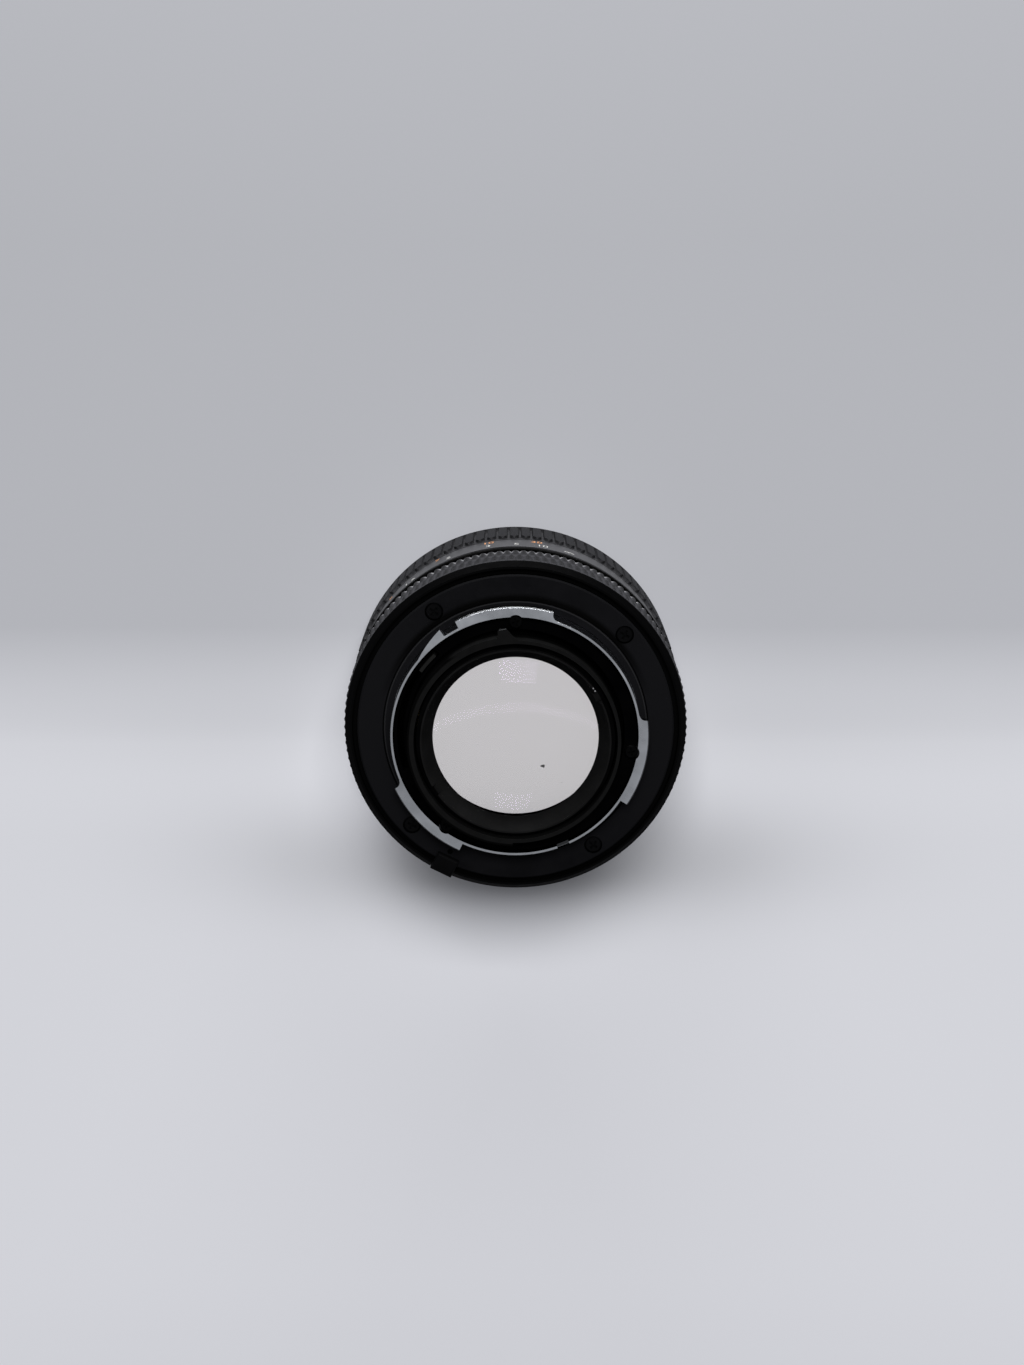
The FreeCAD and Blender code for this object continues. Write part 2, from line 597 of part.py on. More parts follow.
# Rubber grip: broad pads with narrow grooves between them
grip_pitch_mm = 2 * math.pi * GRIP_R / GRIP_PADS
groove_share = GRIP_GROOVE_WIDTH / grip_pitch_mm
pad_outline = [
    (0.0, GRIP_GROOVE_R), (groove_share, GRIP_GROOVE_R), (groove_share + 0.04, GRIP_R - 0.1),
    (groove_share + 0.17, GRIP_R), (0.83, GRIP_R), (0.96, GRIP_R - 0.1),
]
pads = prism(toothed(pad_outline, GRIP_PADS), GRIP_FRONT_Z + GRIP_RIM, GRIP_END_Z)
grip_envelope = turned([
    (GRIP_SEAT_R, GRIP_FRONT_Z), (GRIP_R, GRIP_FRONT_Z), (GRIP_R, GRIP_END_Z - GRIP_BEVEL),
    (GRIP_R - GRIP_BEVEL, GRIP_END_Z), (GRIP_SEAT_R, GRIP_END_Z),
])
front_band = turned([
    (GRIP_SEAT_R, GRIP_FRONT_Z), (GRIP_R - 0.25, GRIP_FRONT_Z), (GRIP_R, GRIP_FRONT_Z + 0.25),
    (GRIP_R, GRIP_FRONT_Z + GRIP_RIM), (GRIP_SEAT_R, GRIP_FRONT_Z + GRIP_RIM),
])
focus_grip = pads.common(grip_envelope).fuse(front_band)


def pad_end_notch(groove):
    """Wedge at the rear end of a groove that rounds the two pads beside it."""
    half_pitch = grip_pitch_mm * 0.49
    half_groove = GRIP_GROOVE_WIDTH / 2
    shoulder = PAD_END_LENGTH * 0.3
    outline = [
        (-half_pitch, OVERCUT), (half_pitch, OVERCUT), (half_pitch, 0.0), (half_pitch * 0.6, -shoulder),
        (half_groove, -PAD_END_LENGTH), (-half_groove, -PAD_END_LENGTH), (-half_pitch * 0.6, -shoulder),
        (-half_pitch, 0.0),
    ]
    corners = [FreeCAD.Vector(GRIP_GROOVE_R, across, GRIP_END_Z + along) for across, along in outline]
    notch = Part.Face(Part.makePolygon(corners + [corners[0]])).extrude(FreeCAD.Vector(GRIP_R, 0, 0))
    notch.rotate(ORIGIN, Z_AXIS, (groove + groove_share / 2) * TURN / GRIP_PADS)
    return notch


focus_grip = focus_grip.cut(group([pad_end_notch(groove) for groove in range(GRIP_PADS)]))
save("focus_grip", focus_grip)

# Fixed barrel with the thread for the helicoid, the detent hole and the slot of the value lever
CORE_FLANGE_R = 23.4
flange_seat_z = SEAT_Z - 1.0
BAYONET_FLANGE_R = 24.4
DETENT_ANGLE = 20.0
DETENT_Z = SEAT_Z - 3.2
DETENT_FLOOR_R = 25.0
DETENT_BALL_R = 0.8
ARM_Z = UNIT_END_Z + 0.4
ARM_THICK = 0.9
ARM_WIDTH = 3.0
fixed_barrel = turned([
    (BARREL_BORE_R, BARREL_FRONT_Z), (BARREL_R, BARREL_FRONT_Z), (BARREL_R, INDEX_END_Z),
    (BARREL_REAR_R, INDEX_END_Z), (BARREL_REAR_R, BARREL_NECK_Z), (BARREL_NECK_R, BARREL_NECK_Z),
    (BARREL_NECK_R, SEAT_Z),
    (BAYONET_FLANGE_R, SEAT_Z), (BAYONET_FLANGE_R, flange_seat_z), (CORE_FLANGE_R, flange_seat_z),
    (CORE_FLANGE_R, BARREL_WALL_Z), (BARREL_BORE_R, BARREL_WALL_Z),
])
fixed_barrel = fixed_barrel.cut(
    tube(BARREL_BORE_R - OVERCUT, BARREL_REAR_R + OVERCUT, ARM_Z - CLEAR, ARM_Z + ARM_THICK + CLEAR,
         TAB_ANGLE - 5.5, APERTURE_TURN_DEG + 11.0))
detent_hole_r = DETENT_BALL_R + PIN_CLEAR
fixed_barrel = fixed_barrel.cut(
    radial_pin(DETENT_ANGLE, DETENT_FLOOR_R, BARREL_REAR_R + OVERCUT, detent_hole_r, DETENT_Z))
MOUNT_SHANK_R = 0.85
MOUNT_SHANK_LENGTH = 3.6
MOUNT_HEAD_R = 1.5
mount_head_seat_z = PLATE_FACE_Z - 0.9
mount_hole_z = mount_head_seat_z - MOUNT_SHANK_LENGTH - 0.2
for angle in MOUNT_SCREW_ANGLES:
    fixed_barrel = fixed_barrel.cut(post(angle, MOUNT_SCREW_R, MOUNT_SHANK_R, mount_hole_z, SEAT_Z + OVERCUT))
save("fixed_barrel", fixed_barrel)

# Detent ball and its spring
DETENT_REACH = 0.15
detent_ball_place = APERTURE_BORE_R - DETENT_BALL_R + DETENT_REACH
save("detent_ball", Part.makeSphere(DETENT_BALL_R, polar(DETENT_ANGLE, detent_ball_place, DETENT_Z)))
DETENT_WIRE_R = 0.12
DETENT_COIL_R = 0.55
DETENT_COILS = 4
detent_spring_foot_r = DETENT_FLOOR_R + DETENT_WIRE_R
detent_spring_length = detent_ball_place - DETENT_BALL_R - detent_spring_foot_r


def coil(length, coil_r, wire_r, turns):
    """Helical spring that starts at the origin and runs up Z."""
    path = Part.makeHelix(length / turns, length, coil_r)
    start = FreeCAD.Vector(coil_r, 0, 0)
    profile = Part.Wire(Part.makeCircle(wire_r, start, FreeCAD.Vector(0, 1, 0)))
    return Part.Wire(path).makePipeShell([profile], True, True)


def lay_along(shape, start, direction):
    shape.Placement = FreeCAD.Placement(start, FreeCAD.Rotation(Z_AXIS, direction))
    return shape


detent_spring = lay_along(coil(detent_spring_length, DETENT_COIL_R, DETENT_WIRE_R, DETENT_COILS),
                          polar(DETENT_ANGLE, detent_spring_foot_r, DETENT_Z), polar(DETENT_ANGLE, 1))
save("detent_spring", detent_spring)

# Index ring between the distance scale and the aperture ring
index_ring = turned([
    (BARREL_R, INDEX_FRONT_Z), (INDEX_R - EDGE_BREAK, INDEX_FRONT_Z), (INDEX_R, INDEX_FRONT_Z + EDGE_BREAK),
    (INDEX_R, INDEX_END_Z - EDGE_BREAK), (INDEX_R - EDGE_BREAK, INDEX_END_Z), (BARREL_R, INDEX_END_Z),
])
save("index_ring", index_ring)

# Keys that keep the optical unit from turning
key_top_z = BARREL_WALL_Z
key_r_in = CELL_R + CLEAR
key_r_out = SLEEVE_BORE_R - 0.2
guide_keys = []
for angle in KEY_ANGLES:
    foot = block(angle, key_r_in, SLEEVE_R, KEY_WIDTH, sleeve_end_z + CLEAR, key_top_z)
    tongue = block(angle, key_r_in, key_r_out, KEY_WIDTH, KEY_TIP_Z, key_top_z)
    guide_keys.append(tongue.fuse(foot).removeSplitter())
save("guide_keys", group(guide_keys))

# Aperture ring: two staggered rows of small teeth, a tapered flank and an inner lip under the plate
FLANK_FOOT_R = LENS_R - 0.25
aperture_body = turned([
    (APERTURE_BORE_R, APERTURE_FRONT_Z), (APERTURE_COLLAR_R - EDGE_BREAK, APERTURE_FRONT_Z),
    (APERTURE_COLLAR_R, APERTURE_FRONT_Z + EDGE_BREAK), (APERTURE_COLLAR_R, KNURL_START_Z),
    (KNURL_ROOT_R, KNURL_START_Z), (KNURL_ROOT_R, KNURL_END_Z), (FLANK_FOOT_R, KNURL_END_Z),
    (APERTURE_FLANK_R, APERTURE_END_Z),
    (APERTURE_EYE_R, APERTURE_END_Z), (APERTURE_EYE_R, SEAT_Z - CLEAR), (APERTURE_LIP_R, SEAT_Z - CLEAR),
    (APERTURE_LIP_R, BARREL_NECK_Z + CLEAR), (APERTURE_BORE_R, BARREL_NECK_Z + CLEAR),
])
knurl_row = (KNURL_END_Z - KNURL_START_Z) / 2
CREST_FALL = 0.1
tooth_outline = [(0.0, KNURL_ROOT_R), (0.3, LENS_R - CREST_FALL), (0.5, LENS_R), (0.7, LENS_R - CREST_FALL)]
for row in range(2):
    row_z = KNURL_START_Z + row * knurl_row
    corners = toothed(tooth_outline, KNURL_TEETH, row * 0.5)
    row_band = bevelled_band(corners, KNURL_ROOT_R - 0.3, LENS_R, row_z, row_z + knurl_row,
                             KNURL_BEVEL, LENS_R - KNURL_ROOT_R)
    aperture_body = aperture_body.fuse(row_band)
lug_base_z = KNURL_END_Z - 0.4
aperture_body = aperture_body.cut(
    block(LUG_ANGLE, APERTURE_EYE_R - OVERCUT, LENS_R + OVERCUT, LUG_WIDTH, lug_base_z,
          APERTURE_END_Z + OVERCUT))
arm_seat_r = APERTURE_BORE_R + 0.8
aperture_body = aperture_body.cut(
    block(TAB_ANGLE, APERTURE_BORE_R - OVERCUT, arm_seat_r, ARM_WIDTH, ARM_Z, ARM_Z + ARM_THICK))
TRACK_DEPTH = 0.22
TRACK_HALF_WIDTH = 0.6
DIMPLE_DEPTH = 0.2
aperture_body = aperture_body.cut(
    tube(APERTURE_BORE_R - OVERCUT, APERTURE_BORE_R + TRACK_DEPTH, DETENT_Z - TRACK_HALF_WIDTH,
         DETENT_Z + TRACK_HALF_WIDTH))
click_pitch = APERTURE_TURN_DEG / CLICK_STOPS
dimple_place = APERTURE_BORE_R + TRACK_DEPTH + DIMPLE_DEPTH - DETENT_BALL_R
for stop in range(CLICK_STOPS + 1):
    dimple_centre = polar(DETENT_ANGLE - stop * click_pitch, dimple_place, DETENT_Z)
    aperture_body = aperture_body.cut(Part.makeSphere(DETENT_BALL_R, dimple_centre))
save("aperture_ring", aperture_body)

# Meter coupling lug that reaches over the rear plate
LUG_OUT_R = LENS_R - 0.7
LUG_ROUND = 0.5
lug_foot = block(LUG_ANGLE, APERTURE_EYE_R, LUG_OUT_R, LUG_WIDTH, lug_base_z, LUG_TOP_Z)
lug_reach = block(LUG_ANGLE, LUG_IN_R, LUG_OUT_R, LUG_WIDTH, PLATE_FACE_Z + CLEAR, LUG_TOP_Z)
coupling_lug = lug_foot.fuse(lug_reach).removeSplitter()
lug_top_edges = [edge for edge in coupling_lug.Edges if edge.BoundBox.ZMin > LUG_TOP_Z - 0.01]
coupling_lug = coupling_lug.makeFillet(LUG_ROUND, lug_top_edges)
save("coupling_lug", coupling_lug)

# Value lever: an arm through the barrel that carries the arc tab seen inside the mount
tab_top_z = PLATE_FACE_Z + 3.9
value_lever = block(TAB_ANGLE, TAB_IN_R + 0.2, arm_seat_r, ARM_WIDTH, ARM_Z, ARM_Z + ARM_THICK)
value_lever = value_lever.fuse(
    tube(TAB_IN_R, TAB_OUT_R, ARM_Z, tab_top_z, TAB_ANGLE - TAB_SPAN / 2, TAB_SPAN)).removeSplitter()
save("value_lever", value_lever)

# Core of the mount: carries the lever ring and takes the baffle screws
CORE_OUT_R = TUBE_IN_R - 0.05
CORE_IN_R = LEVER_OUT_R + CLEAR
CORE_TOP_Z = PLATE_FACE_Z + 2.4
CORE_FOOT_Z = LEVER_FOOT_Z - 1.0
LEVER_FLANGE_R = 19.9
LEVER_FLANGE_THICK = 1.0
GROOVE_R = LEVER_FLANGE_R + CLEAR
lever_flange_top_z = LEVER_FOOT_Z + LEVER_FLANGE_THICK
mount_core = turned([
    (GROOVE_R, CORE_FOOT_Z), (CORE_FLANGE_R, CORE_FOOT_Z), (CORE_FLANGE_R, flange_seat_z),
    (CORE_OUT_R, flange_seat_z), (CORE_OUT_R, CORE_TOP_Z), (CORE_IN_R, CORE_TOP_Z),
    (CORE_IN_R, lever_flange_top_z + CLEAR), (GROOVE_R, lever_flange_top_z + CLEAR),
])
tab_clear_r_in = TAB_IN_R - CLEAR
tab_clear_r_out = TAB_OUT_R + CLEAR
TAB_MARGIN_DEG = 1.5
tab_start = TAB_ANGLE - TAB_SPAN / 2 - TAB_MARGIN_DEG
tab_sweep = APERTURE_TURN_DEG + TAB_SPAN + 2 * TAB_MARGIN_DEG
mount_core = mount_core.cut(
    tube(CORE_IN_R - OVERCUT, tab_clear_r_out, CORE_FOOT_Z - OVERCUT, CORE_TOP_Z + OVERCUT,
         tab_start, tab_sweep))
POCKET_START = 262.0
POCKET_SWEEP = 56.0
POCKET_R = 21.1
POCKET_TOP_Z = LEVER_FOOT_Z + 2.7
mount_core = mount_core.cut(
    tube(CORE_IN_R - OVERCUT, POCKET_R, CORE_FOOT_Z - OVERCUT, POCKET_TOP_Z, POCKET_START, POCKET_SWEEP))
BAFFLE_SHANK_R = 0.6
BAFFLE_SHANK_LENGTH = 3.0
BAFFLE_THICK = 0.7
baffle_top_z = CORE_TOP_Z + BAFFLE_THICK
baffle_hole_z = baffle_top_z - BAFFLE_SHANK_LENGTH - 0.2
for angle in BAFFLE_SCREW_ANGLES:
    mount_core = mount_core.cut(
        post(angle, BAFFLE_SCREW_R, BAFFLE_SHANK_R, baffle_hole_z, CORE_TOP_Z + OVERCUT))
save("mount_core", mount_core)

# Ring that holds the lever ring in the core
lever_keeper = tube(CORE_IN_R, GROOVE_R, CORE_FOOT_Z, LEVER_FOOT_Z - CLEAR)
save("lever_keeper", lever_keeper.cut(
    tube(CORE_IN_R - OVERCUT, GROOVE_R + OVERCUT, CORE_FOOT_Z - OVERCUT, LEVER_FOOT_Z, tab_start, tab_sweep)))

# Stop-down lever ring with its fin, its foot and the bar that drives the iris fork
LEVER_STEP_R = 18.5
STEP_START = 99.0
STEP_SWEEP = 169.5
FIN_TOP_R = 20.5
lever_ring = tube(LEVER_IN_R, LEVER_STEP_R, LEVER_FOOT_Z, LEVER_TOP_Z)
lever_ring = lever_ring.fuse(
    tube(LEVER_STEP_R, LEVER_OUT_R, LEVER_FOOT_Z, LEVER_TOP_Z, STEP_START, STEP_SWEEP))
lever_ring = lever_ring.fuse(tube(LEVER_IN_R, LEVER_FLANGE_R, LEVER_FOOT_Z, lever_flange_top_z))
FIN_THICK = 1.0
fin = prism([polar(99.4, LEVER_IN_R)[:2], polar(98.9, FIN_TOP_R - 0.3)[:2], polar(98.0, FIN_TOP_R)[:2],
             polar(94.6, FIN_TOP_R)[:2], polar(91.4, LEVER_OUT_R)[:2], polar(88.8, LEVER_STEP_R)[:2],
             polar(88.8, LEVER_IN_R)[:2]], LEVER_TOP_Z - FIN_THICK, LEVER_TOP_Z)
BAR_TIP_Z = drive_ring_z + 0.1
bar = block(FORK_ANGLE, LEVER_IN_R + 0.1, LEVER_OUT_R - 0.1, BAR_WIDTH, BAR_TIP_Z, LEVER_FOOT_Z + 0.2)
SPRING_R = 20.3
SPRING_PIN_R = 0.3
SPRING_PIN_ANGLE = 290.0
EAR_DEG = 5.0
ear = tube(LEVER_FLANGE_R - 0.5, POCKET_R - CLEAR, LEVER_FOOT_Z, lever_flange_top_z,
           SPRING_PIN_ANGLE - EAR_DEG / 2, EAR_DEG)
ear_pin = post(SPRING_PIN_ANGLE, SPRING_R, SPRING_PIN_R, lever_flange_top_z, POCKET_TOP_Z - CLEAR)
lever_ring = lever_ring.fuse([fin, bar, ear, ear_pin]).removeSplitter()
bore_cut = tube(LEVER_IN_R - OVERCUT * 2, LEVER_IN_R, LEVER_FOOT_Z, LEVER_TOP_Z + OVERCUT)
save("lever_ring", lever_ring.cut(bore_cut))

# Return spring of the lever ring, from the end of the pocket to the pin
LEVER_WIRE_R = 0.1
LEVER_COIL_R = 0.45
LEVER_COILS = 14
lever_spring_z = (lever_flange_top_z + POCKET_TOP_Z) / 2
spring_start = polar(POCKET_START + 1.5, SPRING_R, lever_spring_z)
spring_path = polar(SPRING_PIN_ANGLE, SPRING_R, lever_spring_z).sub(spring_start)
lever_spring_length = spring_path.Length - SPRING_PIN_R - LEVER_WIRE_R - PIN_CLEAR
lever_spring = lay_along(coil(lever_spring_length, LEVER_COIL_R, LEVER_WIRE_R, LEVER_COILS),
                         spring_start, spring_path)
save("lever_spring", lever_spring)

# Baffle over the core, with a slot for the tab
rear_baffle = tube(CORE_IN_R, TUBE_IN_R - 0.02, CORE_TOP_Z, baffle_top_z)
rear_baffle = rear_baffle.cut(
    tube(tab_clear_r_in, tab_clear_r_out, CORE_TOP_Z - OVERCUT, baffle_top_z + OVERCUT, tab_start, tab_sweep))
for angle in BAFFLE_SCREW_ANGLES:
    rear_baffle = rear_baffle.cut(
        post(angle, BAFFLE_SCREW_R, BAFFLE_SHANK_R, CORE_TOP_Z - OVERCUT, baffle_top_z + OVERCUT))
save("rear_baffle", rear_baffle)
BAFFLE_HEAD_R = 1.2
BAFFLE_HEAD_THICK = 0.8
save("baffle_screws", group([
    screw(angle, BAFFLE_SCREW_R, BAFFLE_HEAD_R, BAFFLE_HEAD_THICK, BAFFLE_SHANK_R, BAFFLE_SHANK_LENGTH,
          baffle_top_z)
    for angle in BAFFLE_SCREW_ANGLES
]))

# Bayonet: a thin tube with three wings, a ramped tooth and a clamped flange
wing_foot_z = BAYONET_TOP_Z - WING_THICK
bayonet = turned([
    (TUBE_IN_R, flange_seat_z), (BAYONET_FLANGE_R, flange_seat_z), (BAYONET_FLANGE_R, SEAT_Z),
    (TUBE_OUT_R, SEAT_Z), (TUBE_OUT_R, BAYONET_TOP_Z - 0.1), (TUBE_OUT_R - 0.1, BAYONET_TOP_Z),
    (TUBE_IN_R + 0.1, BAYONET_TOP_Z), (TUBE_IN_R, BAYONET_TOP_Z - 0.1),
])
WING_ROUND = 1.1
WING_ROOT_R = TUBE_OUT_R - 0.2
WINGS = ((73.8, 116.7), (-32.2, 7.4), (204.0, 244.5))
ROUNDED_ENDS = ((73.8, -1), (7.4, 1), (204.0, -1))


def wing(start, end):
    return turned([
        (WING_ROOT_R, wing_foot_z), (WING_R, wing_foot_z), (WING_R, BAYONET_TOP_Z - 0.2),
        (WING_R - 0.2, BAYONET_TOP_Z), (WING_ROOT_R, BAYONET_TOP_Z),
    ], start, end - start)


def wing_end_fillet(end, side):
    """Hollow corner between the tube and the end of a wing."""
    reach_deg = math.degrees(WING_ROUND / TUBE_OUT_R)
    start = min(end, end + side * reach_deg)
    round_r = TUBE_OUT_R + WING_ROUND
    corner = tube(WING_ROOT_R, round_r, wing_foot_z, BAYONET_TOP_Z, start, reach_deg)
    return corner.cut(
        post(end + side * reach_deg, round_r, WING_ROUND, wing_foot_z - OVERCUT, BAYONET_TOP_Z + OVERCUT))


RAMP_START = 124.2
RAMP_SWEEP = 16.0
RAMP_STEPS = 5
ramp_outer = []
ramp_inner = []
for step in range(RAMP_STEPS + 1):
    share = step / RAMP_STEPS
    ramp_angle = RAMP_START + share * RAMP_SWEEP
    ramp_outer.append(polar(ramp_angle, WING_R + share * (TUBE_OUT_R - WING_R) - 0.05)[:2])
    ramp_inner.append(polar(ramp_angle, WING_ROOT_R)[:2])
ramp = prism(ramp_outer + ramp_inner[::-1], wing_foot_z, BAYONET_TOP_Z)
bayonet_extras = [wing(start, end) for start, end in WINGS]
bayonet_extras += [wing_end_fillet(end, side) for end, side in ROUNDED_ENDS]
bayonet = bayonet.fuse(bayonet_extras + [ramp]).removeSplitter()
POCKET_HEAD_R = 1.4
for angle in BAFFLE_SCREW_ANGLES:
    bayonet = bayonet.cut(post(angle, BAFFLE_SCREW_R, POCKET_HEAD_R, baffle_top_z, BAYONET_TOP_Z + OVERCUT))
TUBE_NOTCH_START = -70.0
TUBE_NOTCH_SWEEP = 6.0
bayonet = bayonet.cut(
    tube(TUBE_IN_R - OVERCUT, TUBE_OUT_R + OVERCUT, BAYONET_TOP_Z - 0.8, BAYONET_TOP_Z + OVERCUT,
         TUBE_NOTCH_START, TUBE_NOTCH_SWEEP))
save("bayonet", bayonet)

# Rear plate
PLATE_BEVEL = 0.3
PLATE_GROOVE_WIDTH = 0.15
PLATE_GROOVE_DEPTH = 0.5
plate_lip_r = PLATE_EYE_R - PLATE_GROOVE_WIDTH
plate_lip_z = PLATE_FACE_Z - 0.1
rear_plate = turned([
    (TUBE_OUT_R + 0.05, SEAT_Z), (PLATE_R, SEAT_Z), (PLATE_R, PLATE_FACE_Z - PLATE_BEVEL),
    (PLATE_R - PLATE_BEVEL, PLATE_FACE_Z), (PLATE_EYE_R, PLATE_FACE_Z),
    (PLATE_EYE_R, PLATE_FACE_Z - PLATE_GROOVE_DEPTH), (plate_lip_r, PLATE_FACE_Z - PLATE_GROOVE_DEPTH),
    (plate_lip_r, plate_lip_z - 0.25), (plate_lip_r - 0.25, plate_lip_z), (TUBE_OUT_R + 0.05, plate_lip_z),
])
for angle in MOUNT_SCREW_ANGLES:
    rear_plate = rear_plate.cut(
        post(angle, MOUNT_SCREW_R, MOUNT_HEAD_R + 0.15, mount_head_seat_z, PLATE_FACE_Z + OVERCUT))
    rear_plate = rear_plate.cut(
        post(angle, MOUNT_SCREW_R, MOUNT_SHANK_R, SEAT_Z - OVERCUT, PLATE_FACE_Z + OVERCUT))
MARK_HOLE_ANGLE = 242.7
MARK_HOLE_R = 0.5
MARK_HOLE_DEPTH = 0.6
rear_plate = rear_plate.cut(
    post(MARK_HOLE_ANGLE, MOUNT_SCREW_R, MARK_HOLE_R, PLATE_FACE_Z - MARK_HOLE_DEPTH, PLATE_FACE_Z + OVERCUT))
save("rear_plate", rear_plate)
MOUNT_HEAD_THICK = 0.8
save("mount_screws", group([
    screw(angle, MOUNT_SCREW_R, MOUNT_HEAD_R, MOUNT_HEAD_THICK, MOUNT_SHANK_R, MOUNT_SHANK_LENGTH,
          mount_head_seat_z)
    for angle in MOUNT_SCREW_ANGLES
]))
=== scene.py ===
import json
import math
import bpy
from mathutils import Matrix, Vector


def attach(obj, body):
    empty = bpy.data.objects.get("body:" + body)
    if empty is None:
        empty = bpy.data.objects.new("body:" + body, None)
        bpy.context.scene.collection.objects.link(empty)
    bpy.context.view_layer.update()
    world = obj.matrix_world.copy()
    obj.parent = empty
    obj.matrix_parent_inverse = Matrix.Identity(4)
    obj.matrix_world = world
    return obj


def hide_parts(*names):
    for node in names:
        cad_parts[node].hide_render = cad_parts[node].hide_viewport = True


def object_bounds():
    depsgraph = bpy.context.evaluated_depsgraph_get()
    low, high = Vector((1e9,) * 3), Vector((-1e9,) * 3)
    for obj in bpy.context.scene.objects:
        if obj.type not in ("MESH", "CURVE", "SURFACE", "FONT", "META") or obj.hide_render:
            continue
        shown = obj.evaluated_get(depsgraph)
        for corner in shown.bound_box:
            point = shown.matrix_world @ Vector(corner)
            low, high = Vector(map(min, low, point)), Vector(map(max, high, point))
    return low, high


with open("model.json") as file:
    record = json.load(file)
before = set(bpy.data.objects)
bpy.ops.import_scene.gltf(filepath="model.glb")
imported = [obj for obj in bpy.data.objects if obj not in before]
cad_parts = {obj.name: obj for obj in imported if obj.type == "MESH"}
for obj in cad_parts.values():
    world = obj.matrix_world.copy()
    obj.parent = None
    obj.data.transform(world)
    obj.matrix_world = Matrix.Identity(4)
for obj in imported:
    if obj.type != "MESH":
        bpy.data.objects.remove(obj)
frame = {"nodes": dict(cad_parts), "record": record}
nodes = frame["nodes"]
low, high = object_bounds()

MM = 0.001
scene = bpy.context.scene
scene.view_settings.view_transform = "Standard"


# Camera: looks at the mount along a line some 17 degrees off the optical axis
SIGHT_DEG = 16.52
PITCH_DEG = 14.93
DISTANCE = 0.3082
SIDEWAYS = -0.00064
PLATE_Z = 0.0395
FILM_HEIGHT = 36.0
FRAME_HEIGHT_PX = 1365.0
FOCAL_LENGTH_PX = 1715.3
cam_data = bpy.data.cameras.new("camera")
cam_data.sensor_fit = "VERTICAL"
cam_data.sensor_height = FILM_HEIGHT
cam_data.lens = FILM_HEIGHT * FOCAL_LENGTH_PX / FRAME_HEIGHT_PX
cam_data.clip_start = 0.01
camera = bpy.data.objects.new("camera", cam_data)
scene.collection.objects.link(camera)
scene.camera = camera
camera.location = (SIDEWAYS, DISTANCE * math.sin(math.radians(SIGHT_DEG)),
                   PLATE_Z + DISTANCE * math.cos(math.radians(SIGHT_DEG)))
camera.rotation_euler = (math.radians(-PITCH_DEG), 0, 0)


# Where a finish or a painted light or shade changes, in millimetres of radius (R), height (Z), distance from
# the middle to either side (X) or towards twelve o'clock (Y). A pair runs from where it starts to where it is
# full.
BARREL_SHADE_Z = (25.0, 25.1)
SKIRT_HIGHLIGHT_Z = (23.1, 23.4)
SKIRT_HIGHLIGHT_R = (30.3, 30.5)
SKIRT_SHADE_Z = (23.9, 24.0)
PLATE_LIT_SIDE_X = (10.0, 25.0)
PLATE_LIP_HIGHLIGHT_INNER_R = (23.40, 23.46)
PLATE_LIP_HIGHLIGHT_OUTER_R = (23.66, 23.60)
WING_SHADE_INNER_R = (23.7, 23.8)
WING_SHADE_OUTER_R = (25.2, 24.4)
WING_SHADE_Y = (6.0, 16.0)
PLATE_SHADE_Z = (39.20, 39.15)
THREAD_PITCH = 0.75
THREAD_R = (25.98, 26.02)
THREAD_TOP_Z = 5.0
TOOTH_VALLEY_R = (30.97, 30.70)
RING_EDGE_HIGHLIGHT_Z = (30.6, 29.9)
RING_WORN_Z = (30.0, 29.7)
RING_SHADE_R = (29.96, 29.90)
RING_SHADE_Z = (38.15, 38.25)
GRIP_GROOVE_R = (31.15, 30.75)
BAYONET_FACE_Z = 43.985
BAYONET_WALL_Z = 43.78
BAYONET_WALL_R = (22.20, 22.23)
LEVER_TOP_Z = (45.0, 45.8)
LEVER_RING_R = (18.80, 18.65)
LEVER_FIN_Y = (15.0, 16.0)
GLASS_LOWER_Y = (-8.5, -14.0)


